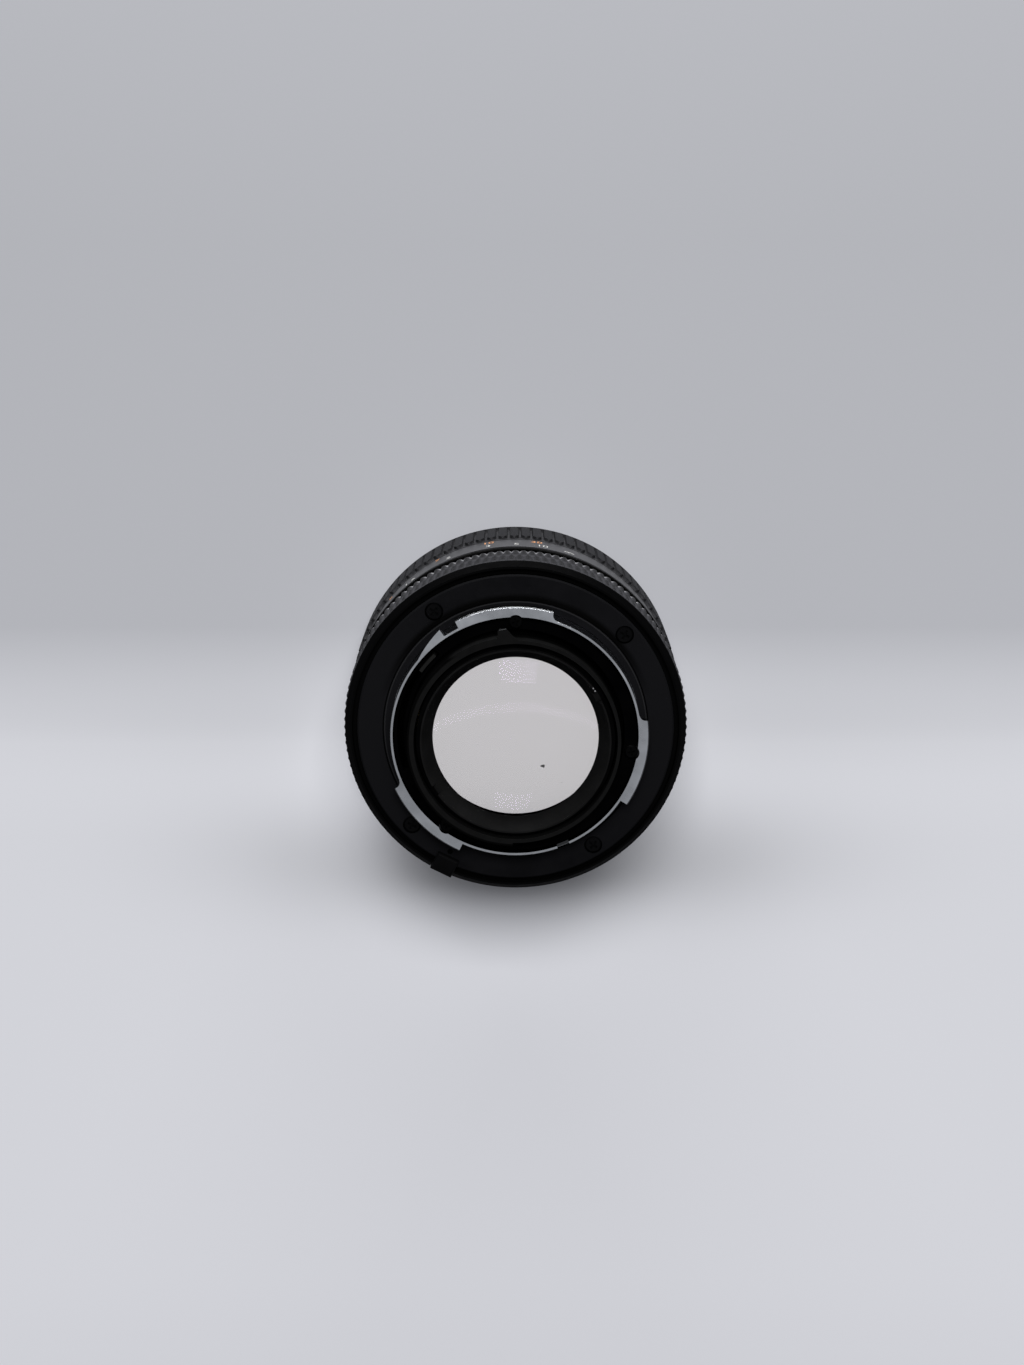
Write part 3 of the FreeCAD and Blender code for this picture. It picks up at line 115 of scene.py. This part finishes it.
class Tree:
    """Short way to make nodes in one material."""

    def __init__(self, name):
        self.mat = bpy.data.materials.new(name)
        self.mat.use_nodes = True
        self.nodes = self.mat.node_tree.nodes
        self.links = self.mat.node_tree.links
        self.shader = self.nodes["Principled BSDF"]

    def add(self, kind, **values):
        node = self.nodes.new(kind)
        for key, value in values.items():
            setattr(node, key, value)
        return node

    def join(self, out, into):
        self.links.new(out, into)

    def math(self, operation, a, b=None):
        node = self.add("ShaderNodeMath", operation=operation)
        for socket, value in zip(node.inputs, (a, b)):
            if isinstance(value, (int, float)):
                socket.default_value = value
            elif value is not None:
                self.join(value, socket)
        return node.outputs[0]

    def ramp(self, value, low_value, high_value, low_out=0.0, high_out=1.0):
        node = self.add("ShaderNodeMapRange")
        self.join(value, node.inputs["Value"])
        node.inputs["From Min"].default_value = low_value
        node.inputs["From Max"].default_value = high_value
        node.inputs["To Min"].default_value = low_out
        node.inputs["To Max"].default_value = high_out
        return node.outputs["Result"]

    def band(self, value, limits):
        """0 at the first of two limits in millimetres and 1 at the second."""
        return self.ramp(value, limits[0] * MM, limits[1] * MM)

    def noise(self, scale, detail=3.0):
        node = self.add("ShaderNodeTexNoise")
        node.inputs["Scale"].default_value = scale
        node.inputs["Detail"].default_value = detail
        node.inputs["Roughness"].default_value = 0.6
        self.join(self.place(), node.inputs["Vector"])
        return node.outputs["Fac"]

    def place(self):
        if not hasattr(self, "coords"):
            self.coords = self.add("ShaderNodeTexCoord").outputs["Object"]
        return self.coords

    def radius(self):
        """Distance from the optical axis, in metres."""
        if not hasattr(self, "radius_out"):
            split = self.add("ShaderNodeSeparateXYZ")
            self.join(self.place(), split.inputs[0])
            squares = self.math("ADD", self.both(split.outputs[0], split.outputs[0]),
                                self.both(split.outputs[1], split.outputs[1]))
            self.radius_out = self.math("SQRT", squares)
            self.height_out = split.outputs[2]
            self.across_out = split.outputs[1]
            self.side_out = self.math("ABSOLUTE", split.outputs[0])
        return self.radius_out

    def height(self):
        """Distance from the plane of the front rim."""
        self.radius()
        return self.height_out

    def across(self):
        """Distance from the axis towards twelve o'clock."""
        self.radius()
        return self.across_out

    def side(self):
        """Distance from the axis to the left or the right."""
        self.radius()
        return self.side_out

    def near(self, x, y, z, inner, outer):
        """1 within inner of a place and 0 beyond outer, in millimetres."""
        node = self.add("ShaderNodeVectorMath", operation="DISTANCE")
        self.join(self.place(), node.inputs[0])
        node.inputs[1].default_value = (x * MM, y * MM, z * MM)
        return self.ramp(node.outputs["Value"], inner * MM, outer * MM, 1.0, 0.0)

    def larger(self, a, b):
        return self.math("MAXIMUM", a, b)

    def both(self, a, b):
        """Product of two values, or the overlap of two masks."""
        return self.math("MULTIPLY", a, b)

    def mix(self, fac, a, b):
        node = self.add("ShaderNodeMix", data_type="RGBA")
        self.join(fac, node.inputs[0])
        for socket, value in ((node.inputs[6], a), (node.inputs[7], b)):
            if isinstance(value, tuple):
                socket.default_value = (*value, 1.0)
            else:
                self.join(value, socket)
        return node.outputs[2]

    def set(self, **values):
        for key, value in values.items():
            name = key.replace("_", " ").title().replace("Ior", "IOR")
            socket = self.shader.inputs[name]
            if isinstance(value, tuple):
                socket.default_value = (*value, 1.0)
            elif isinstance(value, (int, float)):
                socket.default_value = value
            else:
                self.join(value, socket)

    def bump(self, height, strength, distance):
        node = self.add("ShaderNodeBump")
        node.inputs["Strength"].default_value = strength
        node.inputs["Distance"].default_value = distance
        self.join(height, node.inputs["Height"])
        self.join(node.outputs["Normal"], self.shader.inputs["Normal"])


def black_metal(name, base, rough, specular, grain=0.15):
    """Black anodised or painted metal with a fine grain and faint dust."""
    tree = Tree(name)
    fine = tree.noise(9000.0, 2.0)
    broad = tree.noise(160.0, 4.0)
    light = tuple(c * 1.5 + 0.0004 for c in base)
    tree.colour = tree.mix(tree.ramp(broad, 0.35, 0.75), base, light)
    tree.set(base_color=tree.colour,
             roughness=tree.ramp(broad, 0.3, 0.7, rough - 0.06, rough + 0.08),
             specular_ior_level=specular)
    tree.bump(fine, grain, 0.00002)
    return tree


def paint_shade_black(tree, mask):
    """Painted shade: walls in gaps and grooves painted black."""
    tree.colour = tree.mix(mask, tree.colour, (0.0004, 0.0004, 0.0004))
    tree.set(base_color=tree.colour)


def painted_glints(tree, chips):
    """Small pale spots painted as glints; chips are (x, y, z, radius) in millimetres."""
    colour = tree.colour
    for x, y, z, radius in chips:
        colour = tree.mix(tree.near(x, y, z, radius * 0.5, radius), colour, (0.30, 0.30, 0.31))
    tree.set(base_color=colour)


# Black parts
barrel = black_metal("barrel_black", (0.020, 0.020, 0.021), 0.45, 0.03)
skirt = black_metal("skirt_black", (0.045, 0.045, 0.048), 0.48, 0.2)
front = black_metal("front_black", (0.016, 0.016, 0.017), 0.45, 0.3)
plate = black_metal("plate_black", (0.0027, 0.0027, 0.0032), 0.55, 0.02)
baffle = black_metal("baffle_black", (0.0006, 0.0006, 0.0007), 0.8, 0.0)
cell = black_metal("cell_black", (0.0009, 0.0009, 0.001), 0.8, 0.0)
retainer = black_metal("retainer_black", (0.0046, 0.0046, 0.0047), 0.7, 0.01)
# Painted glints: pale spots at the notches of the retaining ring
painted_glints(retainer, ((13.9, 9.4, 47.3, 0.28), (13.5, 9.9, 47.3, 0.2), (-13.9, -8.9, 47.3, 0.22)))
lug = black_metal("lug_black", (0.0018, 0.0018, 0.0020), 0.5, 0.015)
blade = black_metal("blade_steel", (0.02, 0.02, 0.021), 0.5, 0.4)

# Painted shade: the barrel is painted black behind the skirt's rear edge, in the gap before the aperture ring
paint_shade_black(barrel, barrel.band(barrel.height(), BARREL_SHADE_Z))

# Skirt: a painted highlight along its rear edge, and painted shade in black on the web behind it
skirt_edge_highlight = skirt.both(skirt.band(skirt.height(), SKIRT_HIGHLIGHT_Z), skirt.band(skirt.radius(), SKIRT_HIGHLIGHT_R))
skirt.colour = skirt.mix(skirt_edge_highlight, skirt.colour, (0.085, 0.085, 0.091))
paint_shade_black(skirt, skirt.band(skirt.height(), SKIRT_SHADE_Z))

# Plate: a painted highlight on the lip round its eye, painted light that makes it paler towards the left and
# right, painted shade where the bayonet's wings shade it, and painted shade in black below its face
plate_lip_highlight = plate.both(plate.band(plate.radius(), PLATE_LIP_HIGHLIGHT_OUTER_R),
                       plate.band(plate.radius(), PLATE_LIP_HIGHLIGHT_INNER_R))
shaded_ring = plate.both(plate.band(plate.radius(), WING_SHADE_OUTER_R),
                         plate.band(plate.radius(), WING_SHADE_INNER_R))
wing_shade = plate.both(shaded_ring, plate.band(plate.across(), WING_SHADE_Y))
# Painted light: the plate is paler towards the left and right
plate.colour = plate.mix(plate.band(plate.side(), PLATE_LIT_SIDE_X), plate.colour, (0.0047, 0.0047, 0.0054))
plate.colour = plate.mix(plate_lip_highlight, plate.colour, (0.015, 0.015, 0.016))
plate.colour = plate.mix(wing_shade, plate.colour, (0.0003, 0.0003, 0.0003))
# Painted shade: black below the plate's face, in the groove by the aperture ring
paint_shade_black(plate, plate.band(plate.height(), PLATE_SHADE_Z))

# Fine thread of the filter, on the bore of the front ring only
thread = front.math("PINGPONG", front.math("DIVIDE", front.height(), THREAD_PITCH * MM / 2), 1.0)
thread_wall = front.both(front.math("GREATER_THAN", front.radius(), THREAD_R[0] * MM),
                         front.math("LESS_THAN", front.radius(), THREAD_R[1] * MM))
thread_mask = front.both(thread_wall, front.math("LESS_THAN", front.height(), THREAD_TOP_Z * MM))
front.bump(front.both(thread, thread_mask), 0.8, 0.0003)

# Aperture ring: black, with pale dust between the teeth, paler still along the front edge as a painted
# highlight, bare metal showing at the front edge, and painted shade in black on its rear flank and inner wall
ring = Tree("ring_black")
valley = ring.band(ring.radius(), TOOTH_VALLEY_R)
ring_edge_highlight = ring.band(ring.height(), RING_EDGE_HIGHLIGHT_Z)
# dust holds the pale dust in the valleys and, along the front edge, a painted highlight
dust = ring.mix(ring_edge_highlight, (0.042, 0.042, 0.046), (0.19, 0.19, 0.20))
teeth = ring.mix(valley, (0.017, 0.017, 0.018), dust)
chips = ring.ramp(ring.noise(1300.0, 3.0), 0.60, 0.68)
worn = ring.both(ring.band(ring.height(), RING_WORN_Z), chips)
bare = ring.mix(worn, teeth, (0.50, 0.50, 0.51))
# Painted shade: the rear flank and the inner wall by the plate are painted black
ring_painted_shade = ring.larger(ring.band(ring.radius(), RING_SHADE_R), ring.band(ring.height(), RING_SHADE_Z))
ring.set(base_color=ring.mix(ring_painted_shade, bare, (0.0014, 0.0014, 0.0015)),
         roughness=ring.ramp(ring.noise(700.0), 0.3, 0.7, 0.36, 0.5),
         specular_ior_level=0.008)
ring.bump(ring.noise(6000.0, 2.0), 0.15, 0.00002)

# Rubber grip: dark pads, greyer dust in the grooves
grip = Tree("grip_rubber")
grip_noise = grip.noise(900.0, 4.0)
grip_dust = grip.both(grip.band(grip.radius(), GRIP_GROOVE_R), grip.ramp(grip_noise, 0.2, 0.6))
pads = grip.mix(grip_noise, (0.011, 0.011, 0.012), (0.017, 0.017, 0.019))
grip.set(base_color=grip.mix(grip_dust, pads, (0.040, 0.040, 0.043)), roughness=0.62, specular_ior_level=0.07)
grip.bump(grip.noise(5000.0, 3.0), 0.3, 0.00003)

# Silver bayonet: satin chrome with turning marks on its face, and painted shade in darker steel on the bevels
# and in the bore
steel = Tree("bayonet_steel")
turning = steel.add("ShaderNodeTexNoise", noise_dimensions="1D")
turning.inputs["Scale"].default_value = 30000.0
steel.join(steel.radius(), turning.inputs["W"])
smear = steel.noise(220.0, 5.0)
on_face = steel.math("GREATER_THAN", steel.height(), BAYONET_FACE_Z * MM)
off_face = steel.math("SUBTRACT", 1.0, on_face)
on_wall = steel.both(steel.math("LESS_THAN", steel.height(), BAYONET_WALL_Z * MM),
                     steel.band(steel.radius(), BAYONET_WALL_R))
bright_steel = steel.mix(steel.ramp(smear, 0.3, 0.75), (0.52, 0.54, 0.575), (0.63, 0.655, 0.695))
face_rough = steel.ramp(smear, 0.3, 0.7, 0.23, 0.34)
wall_rough = steel.both(face_rough, 0.45)
# Painted shade: the bevels between face and walls, and the bore, get the dark steel
steel.set(base_color=steel.mix(steel.larger(on_face, on_wall), (0.075, 0.077, 0.08), bright_steel),
          roughness=steel.math("ADD", steel.both(face_rough, on_face), steel.both(wall_rough, off_face)),
          metallic=1.0)
steel.bump(steel.both(turning.outputs["Fac"], on_face), 0.12, 0.00002)

# Greys, brass, screws and springs
lever = Tree("lever_grey")
lever_noise = lever.noise(500.0, 4.0)
# Lever: its own grey shows only on the tops of its ring and fin; the rest is painted black as painted shade
rim_or_fin = lever.larger(lever.band(lever.radius(), LEVER_RING_R), lever.band(lever.across(), LEVER_FIN_Y))
lever_unshaded_top = lever.both(lever.band(lever.height(), LEVER_TOP_Z), rim_or_fin)
lever_grey = lever.mix(lever_noise, (0.0028, 0.0028, 0.0029), (0.006, 0.006, 0.006))
lever.set(base_color=lever.mix(lever_unshaded_top, (0.0005, 0.0005, 0.0005), lever_grey),
          specular_ior_level=0.02, roughness=lever.ramp(lever_noise, 0.3, 0.7, 0.45, 0.6))
lever.bump(lever.noise(8000.0), 0.12, 0.00002)

tab = Tree("tab_steel")
tab_noise = tab.noise(700.0, 3.0)
tab.set(base_color=tab.mix(tab_noise, (0.003, 0.003, 0.003), (0.007, 0.007, 0.0065)), roughness=0.45,
        specular_ior_level=0.15)
tab.bump(tab_noise, 0.1, 0.00002)

screws = black_metal("screw_black", (0.0010, 0.0010, 0.0012), 0.4, 0.04)
baffle_screw = black_metal("baffle_screw_steel", (0.0004, 0.0004, 0.0005), 0.42, 0.03)

brass = Tree("brass")
brass_noise = brass.noise(400.0, 4.0)
brass.set(base_color=brass.mix(brass_noise, (0.42, 0.30, 0.12), (0.62, 0.46, 0.2)), metallic=1.0,
          roughness=brass.ramp(brass_noise, 0.3, 0.7, 0.28, 0.45))
brass.bump(brass.noise(5000.0), 0.1, 0.00002)

spring = Tree("spring_steel")
spring_noise = spring.noise(900.0, 3.0)
spring.set(base_color=spring.mix(spring_noise, (0.35, 0.35, 0.36), (0.5, 0.5, 0.5)), metallic=1.0,
           roughness=0.3)

glass = Tree("lens_glass")
# Glass: a little darker towards six o'clock
glass_colour_darker_low = glass.mix(glass.band(glass.across(), GLASS_LOWER_Y), (0.985, 0.98, 0.985), (0.960, 0.956, 0.962))
glass.set(base_color=glass_colour_darker_low, roughness=0.0, ior=1.62, transmission_weight=1.0,
          specular_ior_level=0.03, specular_tint=(0.05, 0.04, 0.06))

SLOT_MATERIALS = {
    "barrel_black": barrel, "skirt_black": skirt, "ring_black": ring, "front_black": front,
    "plate_black": plate, "baffle_black": baffle, "cell_black": cell, "retainer_black": retainer,
    "grip_rubber": grip, "bayonet_steel": steel, "lever_grey": lever, "tab_steel": tab,
    "screw_black": screws, "baffle_screw_steel": baffle_screw, "lug_black": lug, "brass": brass,
    "blade_steel": blade, "spring_steel": spring, "lens_glass": glass,
}
slot_of_node = {part["node"]: part["material_slot"] for part in frame["record"]["subparts"]}
for name, obj in nodes.items():
    material = SLOT_MATERIALS[slot_of_node[name]].mat
    if obj.data.materials:
        obj.data.materials[0] = material
    else:
        obj.data.materials.append(material)


# Glass elements turned with true curves, so that they bend light smoothly
LATHE_STEPS = 160
ARC_STEPS = 28
GLASS_GAP = 0.02
FRONT_GLASS_R = 16.8 - GLASS_GAP
FRONT_PAIR_R = 14.6 - GLASS_GAP
REAR_PAIR_R = 14.2 - GLASS_GAP
REAR_GLASS_R = 15.8 - GLASS_GAP
REAR_GLASS_TOP = 47.2
REAR_GLASS_CURVE = -34.0


def sag(curve, r):
    """Height that a spherical face of this curve gains at radius r; the sign follows the curve."""
    depth = abs(curve) - math.sqrt(curve * curve - r * r)
    return math.copysign(depth, curve)


def arc_points(vertex, curve, r_from, r_to):
    """Points (radius, z) along a spherical face."""
    points = []
    for step in range(ARC_STEPS + 1):
        r = r_from + (r_to - r_from) * step / ARC_STEPS
        points.append((r, vertex + sag(curve, r)))
    return points


def lathe(name, profile, material, body):
    """Closed turned mesh from (radius, z) points in millimetres; the first and last lie on the axis."""
    verts = [(0, 0, profile[0][1] * MM)]
    for r, z in profile[1:-1]:
        for step in range(LATHE_STEPS):
            a = 2 * math.pi * step / LATHE_STEPS
            verts.append((r * MM * math.cos(a), r * MM * math.sin(a), z * MM))
    verts.append((0, 0, profile[-1][1] * MM))
    faces = []
    rings = len(profile) - 2
    for step in range(LATHE_STEPS):
        after = (step + 1) % LATHE_STEPS
        faces.append((0, 1 + after, 1 + step))
        last = 1 + (rings - 1) * LATHE_STEPS
        faces.append((last + step, last + after, len(verts) - 1))
        for k in range(rings - 1):
            a = 1 + k * LATHE_STEPS
            b = a + LATHE_STEPS
            faces.append((a + step, a + after, b + after, b + step))
    mesh = bpy.data.meshes.new(name)
    mesh.from_pydata(verts, [], faces)
    mesh.validate()
    for polygon in mesh.polygons:
        polygon.use_smooth = True
    obj = bpy.data.objects.new(name, mesh)
    scene.collection.objects.link(obj)
    mesh.materials.append(material)
    obj.data.set_sharp_from_angle(angle=math.radians(35))
    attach(obj, body)
    return obj


def element(name, front, front_r, rear, rear_r, edge_r, replaced):
    """One piece of glass. front and rear are (vertex, curve); front_r and rear_r are where each curve ends."""
    profile = arc_points(*front, 0.0, front_r)
    if front_r < edge_r:
        profile.append((edge_r, profile[-1][1]))
    back = arc_points(*rear, 0.0, rear_r)[::-1]
    if rear_r < edge_r:
        profile.append((edge_r, back[0][1]))
    piece = lathe(name, profile + back, glass.mat, "optical_unit")
    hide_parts(*replaced)


element("front_element", (7.4, 28.0), FRONT_GLASS_R, (11.8, 80.0), FRONT_GLASS_R, FRONT_GLASS_R,
        ["front_glass"])
element("front_doublet", (12.05, 19.5), FRONT_PAIR_R, (18.75, 15.5), 11.3, FRONT_PAIR_R,
        ["second_glass", "third_glass"])
element("rear_doublet", (33.15, -17.0), 11.5, (41.45, -20.5), REAR_PAIR_R, REAR_PAIR_R,
        ["fourth_glass", "fifth_glass"])
element("rear_element", (41.7, 120.0), REAR_GLASS_R, (REAR_GLASS_TOP, REAR_GLASS_CURVE), REAR_GLASS_R,
        REAR_GLASS_R, ["rear_glass"])


def flat_piece(name, verts, faces, material, body):
    """Piece from flat faces given in metres."""
    mesh = bpy.data.meshes.new(name)
    mesh.from_pydata(verts, [], faces)
    mesh.materials.append(material)
    obj = bpy.data.objects.new(name, mesh)
    scene.collection.objects.link(obj)
    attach(obj, body)


# Dust specks on the rear glass: (x, y, radius) in millimetres
SPECKS = ((4.8, -4.5, 0.40), (8.2, -8.0, 0.10), (-6.5, 3.2, 0.05))
SPECK_SIDES = 9
SPECK_LIFT = 0.03
speck = Tree("dust_grey")
speck_noise = speck.noise(3000.0)
speck.set(base_color=speck.mix(speck_noise, (0.02, 0.02, 0.02), (0.06, 0.06, 0.06)), roughness=0.8)


def make_specks():
    verts = []
    faces = []
    for x, y, radius in SPECKS:
        z = REAR_GLASS_TOP + sag(REAR_GLASS_CURVE, math.hypot(x, y)) + SPECK_LIFT
        start = len(verts)
        for k in range(SPECK_SIDES):
            a = 2 * math.pi * k / SPECK_SIDES
            reach = radius * (1.0 + 0.25 * math.sin(3 * a + x))
            verts.append(((x + reach * math.cos(a)) * MM, (y + 0.7 * reach * math.sin(a)) * MM, z * MM))
        faces.append(list(range(start, start + SPECK_SIDES)))
    flat_piece("dust_specks", verts, faces, speck.mat, "optical_unit")


make_specks()


# Distance figures painted on the skirt: feet in orange nearer the grip, metres in white nearer the mount
def flat_paint(name, colour):
    """Matt paint, a little worn."""
    tree = Tree(name)
    wear = tree.noise(2500.0, 3.0)
    worn_colour = tuple(c * 0.7 for c in colour)
    tree.set(base_color=tree.mix(tree.ramp(wear, 0.35, 0.7), colour, worn_colour), roughness=0.6)
    return tree.mat


white_paint = flat_paint("paint_white", (0.62, 0.62, 0.60))
orange_paint = flat_paint("paint_orange", (0.74, 0.34, 0.15))
FIGURE_R = 30.63
FIGURE_HEIGHT = 2.3
FEET_Z = 19.2
METRES_Z = 22.3
FEET = (("30", 82.6), ("10", 99.6), ("7", 118.6), ("5", 140.0), ("4", 158.0), ("3", 182.0), ("2", 226.0),
        ("1.5", 262.0))
METRES = (("∞", 71.0), ("10", 80.6), ("5", 89.6), ("3", 99.6), ("2", 114.0), ("1.5", 130.0), ("1", 160.0),
          ("0.8", 186.0), ("0.6", 222.0), ("0.45", 262.0))


def wrapped_figures(name, entries, z_base, material):
    """Figures laid round the skirt, upright for an eye behind the camera. entries are (text, degrees)."""
    verts = []
    faces = []
    for text, angle in entries:
        curve = bpy.data.curves.new(name, "FONT")
        curve.body = text
        curve.size = FIGURE_HEIGHT
        curve.align_x = "CENTER"
        curve.resolution_u = 4
        temp = bpy.data.objects.new(name, curve)
        scene.collection.objects.link(temp)
        bpy.context.view_layer.update()
        mesh = bpy.data.meshes.new_from_object(temp)
        start = len(verts)
        for vertex in mesh.vertices:
            a = math.radians(angle) - vertex.co.x / FIGURE_R
            x, y, z = FIGURE_R * math.cos(a), FIGURE_R * math.sin(a), z_base - vertex.co.y
            verts.append((x * MM, y * MM, z * MM))
        for polygon in mesh.polygons:
            faces.append([start + i for i in polygon.vertices])
        bpy.data.objects.remove(temp)
    flat_piece(name, verts, faces, material, "focus_ring")


wrapped_figures("figures_feet", FEET, FEET_Z, orange_paint)
wrapped_figures("figures_metres", METRES, METRES_Z, white_paint)


# Floor: pale paper that is brighter near the camera and dimmer towards the wall behind. The pairs are
# millimetres along the floor. The photographed lens touches its table, so the paper has painted shadow where
# it would touch, and painted light that lifts it where the lens shades it: each soft patch is (amount, x and y
# of its middle, half width, half depth), added to a shade of 1; a negative amount paints shadow and a positive
# one paints light.
FLOOR_HALF = 3.0
FLOOR_NEAR_Y = (-35.0, -140.0)
FLOOR_FAR_Y = (-14.5, 10.0)
FLOOR_WALL_Y = (10.0, 85.0)
FLOOR_PAINTED_PATCHES = (
    (-0.3, 0.6, -43.4, 20.0, 4.6), (-0.56, 2.1, -39.5, 47.5, 12.5), (0.55, -2.2, -15.2, 29.9, 38.8),
    (0.4, -28.3, -22.1, 9.0, 14.3), (-0.11, 7.8, -11.8, 119.0, 7.9),
)
DARKEST_SHADE = 0.08
BRIGHTEST_SHADE = 1.35
FLOOR_SEEN_THROUGH_GLASS = (0.577, 0.573, 0.581, 1.0)


def soft_patch(tree, split, amount, x, y, wide, deep):
    """Patch that fades out from its middle as a bell curve does."""
    dx = tree.math("DIVIDE", tree.math("SUBTRACT", split.outputs[0], x * MM), wide * MM)
    dy = tree.math("DIVIDE", tree.math("SUBTRACT", split.outputs[1], y * MM), deep * MM)
    squares = tree.math("ADD", tree.both(dx, dx), tree.both(dy, dy))
    return tree.both(tree.math("EXPONENT", tree.both(squares, -1.0)), amount)


def make_floor():
    half = FLOOR_HALF
    mesh = bpy.data.meshes.new("floor")
    corners = [(-half, -half, 0), (half, -half, 0), (half, half, 0), (-half, half, 0)]
    mesh.from_pydata(corners, [], [(0, 1, 2, 3)])
    obj = bpy.data.objects.new("floor", mesh)
    scene.collection.objects.link(obj)
    obj.location.z = low.z
    tree = Tree("floor_paper")
    split = tree.add("ShaderNodeSeparateXYZ")
    tree.join(tree.place(), split.inputs[0])
    along = split.outputs[1]
    bright = tree.mix(tree.band(along, FLOOR_NEAR_Y), (0.615, 0.62, 0.655), (0.70, 0.705, 0.745))
    dim = tree.mix(tree.band(along, FLOOR_WALL_Y), (0.405, 0.41, 0.437), (0.362, 0.367, 0.39))
    colour = tree.mix(tree.band(along, FLOOR_FAR_Y), bright, dim)
    shade = 1.0
    for patch in FLOOR_PAINTED_PATCHES:
        shade = tree.math("ADD", shade, soft_patch(tree, split, *patch))
    shade = tree.math("MINIMUM", tree.larger(shade, DARKEST_SHADE), BRIGHTEST_SHADE)
    shaded = tree.add("ShaderNodeVectorMath", operation="SCALE")
    tree.join(colour, shaded.inputs[0])
    tree.join(shade, shaded.inputs["Scale"])
    tree.set(base_color=shaded.outputs[0], roughness=0.9, specular_ior_level=0.1)
    light_path = tree.add("ShaderNodeLightPath")
    emission = tree.add("ShaderNodeEmission")
    emission.inputs["Color"].default_value = FLOOR_SEEN_THROUGH_GLASS
    mixer = tree.add("ShaderNodeMixShader")
    tree.join(light_path.outputs["Is Transmission Ray"], mixer.inputs[0])
    tree.join(tree.shader.outputs[0], mixer.inputs[1])
    tree.join(emission.outputs[0], mixer.inputs[2])
    tree.join(mixer.outputs[0], tree.nodes["Material Output"].inputs["Surface"])
    mesh.materials.append(tree.mat)
    # The lens stands on the rim of its sliding unit, so the floor stays under that rim when the unit slides:
    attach(obj, "optical_unit")


make_floor()


# Lamps and world, in metres and watts
def soft_light(name, place, target, size, power):
    """Rectangular area lamp aimed at a target."""
    data = bpy.data.lights.new(name, "AREA")
    data.shape = "RECTANGLE"
    data.size = size[0]
    data.size_y = size[1]
    data.energy = power
    obj = bpy.data.objects.new(name, data)
    obj.location = place
    direction = Vector(target) - Vector(place)
    obj.rotation_euler = direction.to_track_quat("-Z", "Y").to_euler()
    scene.collection.objects.link(obj)


soft_light("key_light", (0.03, 0.48, 0.84), (0, 0, 0.02), (0.40, 0.32), 7.6)
soft_light("top_light", (0.0, 0.72, 0.12), (0, 0, 0.03), (0.7, 0.12), 5.0)
world = bpy.data.worlds.new("world")
scene.world = world
world.use_nodes = True
background = world.node_tree.nodes["Background"]
background.inputs["Color"].default_value = (0.96, 0.97, 1.0, 1.0)
background.inputs["Strength"].default_value = 0.32
